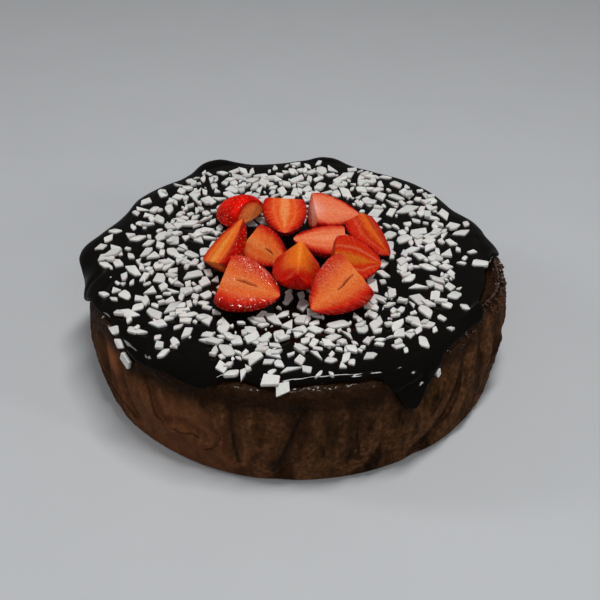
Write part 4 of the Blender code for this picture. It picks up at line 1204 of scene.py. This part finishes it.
def make_crumbs(form, sponge):
    """Loose crumbs on the bare crust: twelve-cornered lumps with seeded sizes, sunk a little in the crust."""
    rng = np.random.default_rng(77)
    count = sponge.crumbs
    turn = np.arange(5) * 2 * math.pi / 5
    upper = np.stack([np.cos(turn), np.sin(turn), 0.35 + 0 * turn], -1)
    lower = np.stack([np.cos(turn + 0.6), np.sin(turn + 0.6), -0.45 + 0 * turn], -1)
    ball = np.vstack([[[0, 0, 1.0]], upper, lower, [[0, 0, -1.0]]])
    at_end = count // 4
    theta = np.concatenate([rng.normal(341.0, 12.0, count - at_end), rng.normal(356.0, 3.0, at_end)])
    q = 1.0 + rng.uniform(-0.012, 0.9, count) * (rng.uniform(size=count) < 0.5)
    base = form.lifted(theta, q, rng.uniform(0.0, 0.7, count))
    size = np.clip(rng.lognormal(math.log(0.6), 0.35, count), 0.35, 1.5)[:, None, None]
    shape = ball[None] * rng.uniform(0.7, 1.3, (count, len(ball), 1)) * size
    j = np.arange(5)
    k = (j + 1) % 5
    tris = np.vstack([
        np.stack([0 * j, 1 + j, 1 + k], -1), np.stack([6 + j, 11 + 0 * j, 6 + k], -1),
        np.stack([1 + j, 6 + j, 1 + k], -1), np.stack([6 + j, 6 + k, 1 + k], -1),
    ])
    look = plain_finish("crust_crumb", (0.050, 0.018, 0.009), 0.4, 0.6, 2.0)
    faces = [copied_faces(tris, count, len(ball))]
    piece = new_piece("crust_crumbs", (base[:, None] + shape).reshape(-1, 3), faces, look)


def make_floor(stage):
    """A plain pale floor, left out of mirror images, because the glaze would show it as a grey band."""
    mesh = bpy.data.meshes.new("floor")
    mesh.from_pydata([(-4, -4, 0), (4, -4, 0), (4, 4, 0), (-4, 4, 0)], [], [(0, 1, 2, 3)])
    mesh.materials.append(plain_finish("pale_floor", tuple(stage.floor_colour), 0.01, 0.65, 60.0))
    floor = bpy.data.objects.new("floor", mesh)
    floor.visible_glossy = False
    bpy.context.scene.collection.objects.link(floor)


def make_lights(stage):
    """An even pale room and four soft lamps that all point at the cake; the wide front one isn't mirrored."""
    scene = bpy.context.scene
    world = bpy.data.worlds.new("soft_room")
    world.use_nodes = True
    background = world.node_tree.nodes["Background"]
    background.inputs["Color"].default_value = (0.95, 0.97, 1.0, 1.0)
    background.inputs["Strength"].default_value = stage.room
    scene.world = world
    for name, place, size, watts, mirrored in (
        ("overhead", (0.12, -0.10, 1.25), (0.5, 0.16), stage.overhead, True),
        ("front", (0.15, -1.9, 1.55), (2.2, 1.4), stage.front, False),
        ("left", (-1.7, 0.2, 1.0), (0.32, 0.8), stage.left, True),
        ("right", (1.25, -0.72, 0.77), (0.14, 0.34), stage.right, True),
    ):
        light = bpy.data.lights.new(name, "AREA")
        light.shape = "RECTANGLE"
        light.size, light.size_y = size
        light.energy = watts
        lamp = bpy.data.objects.new(name, light)
        lamp.location = place
        lamp.visible_glossy = mirrored
        look = np.array(LIGHT_AIM) - np.array(place)
        dip = math.acos(-look[2] / np.linalg.norm(look))
        lamp.rotation_euler = (dip, 0.0, math.atan2(-look[0], look[1]))
        scene.collection.objects.link(lamp)


def make_camera(stage):
    """A camera at the photo's viewing angle."""
    scene = bpy.context.scene
    camera = bpy.data.cameras.new("camera")
    camera.lens = stage.lens * 1000.0
    camera.sensor_width = 36.0
    camera.clip_end = 30.0
    holder = bpy.data.objects.new("camera", camera)
    holder.location = tuple(stage.camera_place)
    holder.rotation_euler = (math.pi / 2 - stage.camera_pitch, stage.camera_roll, stage.camera_turn)
    scene.collection.objects.link(holder)
    scene.camera = holder


class SpongeSettings(bpy.types.PropertyGroup):
    """Sizes and colours of the sponge."""

    top_radius: bpy.props.FloatProperty(
        name="Top radius", description="Radius of the sponge at its top", default=0.1175, min=0.05,
        unit="LENGTH")
    foot_radius: bpy.props.FloatProperty(
        name="Foot radius", description="Radius of the sponge at its foot", default=0.1204, min=0.05,
        unit="LENGTH")
    height: bpy.props.FloatProperty(
        name="Height", description="Height of the sponge", default=0.0635, min=0.03, unit="LENGTH")
    edge_round: bpy.props.FloatProperty(
        name="Edge rounding", description="Radius of the upper edge", default=0.005, min=0.002, unit="LENGTH")
    foot_round: bpy.props.FloatProperty(
        name="Foot rounding", description="Radius of the lower edge", default=0.0045, min=0.002,
        unit="LENGTH")
    crumb: bpy.props.FloatProperty(
        name="Crumb", description="Height of the crumb's relief", default=0.0006, min=0.0, unit="LENGTH")
    crumbs: bpy.props.IntProperty(
        name="Loose crumbs", description="Number of loose crumbs on the bare crust", default=260, min=8)
    colour: bpy.props.FloatVectorProperty(
        name="Colour", description="Colour of the moist sponge", subtype="COLOR",
        default=(0.060, 0.0245, 0.0080))
    dark_colour: bpy.props.FloatVectorProperty(
        name="Dark colour", description="Colour of the darker clouds", subtype="COLOR",
        default=(0.024, 0.0085, 0.0024))
    warm_colour: bpy.props.FloatVectorProperty(
        name="Warm colour", description="Colour of the redder baked patches", subtype="COLOR",
        default=(0.340, 0.108, 0.040))


class GlazeSettings(bpy.types.PropertyGroup):
    """Sizes and colours of the glaze."""

    top_thickness: bpy.props.FloatProperty(
        name="Thickness on top", description="Thickness of the glaze on the flat top", default=0.0043,
        unit="LENGTH")
    side_thickness: bpy.props.FloatProperty(
        name="Thickness on the side", description="Thickness of the glaze on the side", default=0.0026,
        unit="LENGTH")
    clearance: bpy.props.FloatProperty(
        name="Clearance", description="Gap between sponge and glaze", default=0.0006, unit="LENGTH")
    run: bpy.props.FloatProperty(
        name="Run", description="How far the plain glaze runs over the edge", default=0.004, unit="LENGTH")
    folds: bpy.props.FloatProperty(
        name="Folds", description="Depth of the folds near the edge", default=0.001, unit="LENGTH")
    colour: bpy.props.FloatVectorProperty(
        name="Colour", description="Colour of the glaze", subtype="COLOR", default=(0.0023, 0.0017, 0.0012))
    roughness: bpy.props.FloatProperty(
        name="Roughness", description="Roughness of the glaze's gloss", default=0.05, min=0.0, max=1.0,
        subtype="FACTOR")


class ChipSettings(bpy.types.PropertyGroup):
    """Sizes and colours of the white chips."""

    count: bpy.props.IntProperty(
        name="Chips", description="Number of chips to scatter", default=640, min=10)
    bits: bpy.props.IntProperty(
        name="Small bits", description="Number of small bits among them", default=70, min=0)
    thickness: bpy.props.FloatProperty(
        name="Thickness", description="Thickness of a chip", default=0.0013, min=0.0005, unit="LENGTH")
    colour: bpy.props.FloatVectorProperty(
        name="Colour", description="Colour of the chips", subtype="COLOR", default=(0.76, 0.75, 0.72))


class StrawberrySettings(bpy.types.PropertyGroup):
    """Sizes and colours of the strawberries."""

    seed_spacing: bpy.props.FloatProperty(
        name="Seed spacing", description="Distance between seeds", default=0.0034, min=0.0015, unit="LENGTH")
    seed_depth: bpy.props.FloatProperty(
        name="Dimple depth", description="Depth of the seeds' dimples", default=0.0004, min=0.0,
        unit="LENGTH")
    skin_colour: bpy.props.FloatVectorProperty(
        name="Skin colour", description="Colour of the skin", subtype="COLOR", default=(0.50, 0.0036, 0.0012))
    seed_colour: bpy.props.FloatVectorProperty(
        name="Seed colour", description="Colour of the seeds", subtype="COLOR", default=(0.50, 0.13, 0.03))


class StageSettings(bpy.types.PropertyGroup):
    """Floor, lights and camera."""

    floor_colour: bpy.props.FloatVectorProperty(
        name="Floor colour", description="Colour of the floor", subtype="COLOR", default=(0.55, 0.565, 0.58))
    room: bpy.props.FloatProperty(
        name="Room light", description="Strength of the even light", default=0.10)
    overhead: bpy.props.FloatProperty(
        name="Overhead light", description="Watts of the light above", default=8.2)
    front: bpy.props.FloatProperty(
        name="Front light", description="Watts of the light in front", default=13.0)
    left: bpy.props.FloatProperty(
        name="Left light", description="Watts of the light on the left", default=6.4)
    right: bpy.props.FloatProperty(
        name="Right light", description="Watts of the small light on the right", default=3.2)
    lens: bpy.props.FloatProperty(name="Lens", description="Focal length", default=0.060, unit="LENGTH")
    camera_place: bpy.props.FloatVectorProperty(
        name="Camera place", description="Place of the camera", default=(0.00925, -0.4947, 0.395),
        unit="LENGTH")
    camera_pitch: bpy.props.FloatProperty(
        name="Camera pitch", description="How far the camera looks down", default=math.radians(36.28),
        unit="ROTATION")
    camera_turn: bpy.props.FloatProperty(
        name="Camera turn", description="Turn of the camera to the left", default=math.radians(0.52),
        unit="ROTATION")
    camera_roll: bpy.props.FloatProperty(
        name="Camera roll", description="Roll of the camera", default=0.0, unit="ROTATION")


class CAKE_OT_sponge(bpy.types.Operator):
    """Builds the creased sponge and its loose crumbs"""

    bl_idname = "cake.sponge"
    bl_label = "Bake the Sponge"

    def execute(self, context):
        scene = context.scene
        form = CakeForm(scene.cake_sponge, scene.cake_glaze)
        make_sponge(form, scene.cake_sponge)
        make_crumbs(form, scene.cake_sponge)
        return {"FINISHED"}


class CAKE_OT_glaze(bpy.types.Operator):
    """Builds the poured glaze with its drips and folds"""

    bl_idname = "cake.glaze"
    bl_label = "Pour the Glaze"

    def execute(self, context):
        scene = context.scene
        make_glaze(CakeForm(scene.cake_sponge, scene.cake_glaze), scene.cake_glaze)
        return {"FINISHED"}


class CAKE_OT_chips(bpy.types.Operator):
    """Scatters the white chips over the glaze"""

    bl_idname = "cake.chips"
    bl_label = "Scatter the Chips"

    def execute(self, context):
        scene = context.scene
        make_chips(CakeForm(scene.cake_sponge, scene.cake_glaze), scene.cake_chips)
        return {"FINISHED"}


class CAKE_OT_strawberries(bpy.types.Operator):
    """Lays the cut strawberries in their heap"""

    bl_idname = "cake.strawberries"
    bl_label = "Lay the Strawberries"

    def execute(self, context):
        make_strawberries(context.scene.cake_strawberries)
        return {"FINISHED"}


class CAKE_OT_stage(bpy.types.Operator):
    """Sets the floor, the lights and the camera"""

    bl_idname = "cake.stage"
    bl_label = "Set the Stage"

    def execute(self, context):
        stage = context.scene.cake_stage
        context.scene.view_settings.view_transform = "Standard"
        make_floor(stage)
        make_lights(stage)
        make_camera(stage)
        return {"FINISHED"}


class CAKE_PT_panel(bpy.types.Panel):
    """Lists the cake's sizes, colours and steps"""

    bl_idname = "CAKE_PT_panel"
    bl_label = "Glazed Cake"
    bl_space_type = "VIEW_3D"
    bl_region_type = "UI"
    bl_category = "Cake"

    def draw(self, context):
        for title, key, operator in PANEL_ROWS:
            box = self.layout.box()
            box.label(text=title)
            settings = getattr(context.scene, key)
            for name in settings.__annotations__:
                box.prop(settings, name)
            box.operator(operator)


PANEL_ROWS = (
    ("Sponge", "cake_sponge", "cake.sponge"),
    ("Glaze", "cake_glaze", "cake.glaze"),
    ("Chips", "cake_chips", "cake.chips"),
    ("Strawberries", "cake_strawberries", "cake.strawberries"),
    ("Stage", "cake_stage", "cake.stage"),
)
SETTINGS = {
    "cake_sponge": SpongeSettings,
    "cake_glaze": GlazeSettings,
    "cake_chips": ChipSettings,
    "cake_strawberries": StrawberrySettings,
    "cake_stage": StageSettings,
}
CLASSES = (
    *SETTINGS.values(), CAKE_OT_sponge, CAKE_OT_glaze, CAKE_OT_chips, CAKE_OT_strawberries, CAKE_OT_stage,
    CAKE_PT_panel,
)


def register():
    """Registers the settings, operators and panel."""
    for cls in CLASSES:
        bpy.utils.register_class(cls)
    for key, cls in SETTINGS.items():
        setattr(bpy.types.Scene, key, bpy.props.PointerProperty(type=cls))


def unregister():
    """Takes them out again."""
    for key in SETTINGS:
        delattr(bpy.types.Scene, key)
    for cls in reversed(CLASSES):
        bpy.utils.unregister_class(cls)


def main():
    """Builds every piece in order."""
    register()
    bpy.ops.cake.sponge()
    bpy.ops.cake.glaze()
    bpy.ops.cake.chips()
    bpy.ops.cake.strawberries()
    bpy.ops.cake.stage()


if __name__ == "__main__":
    main()
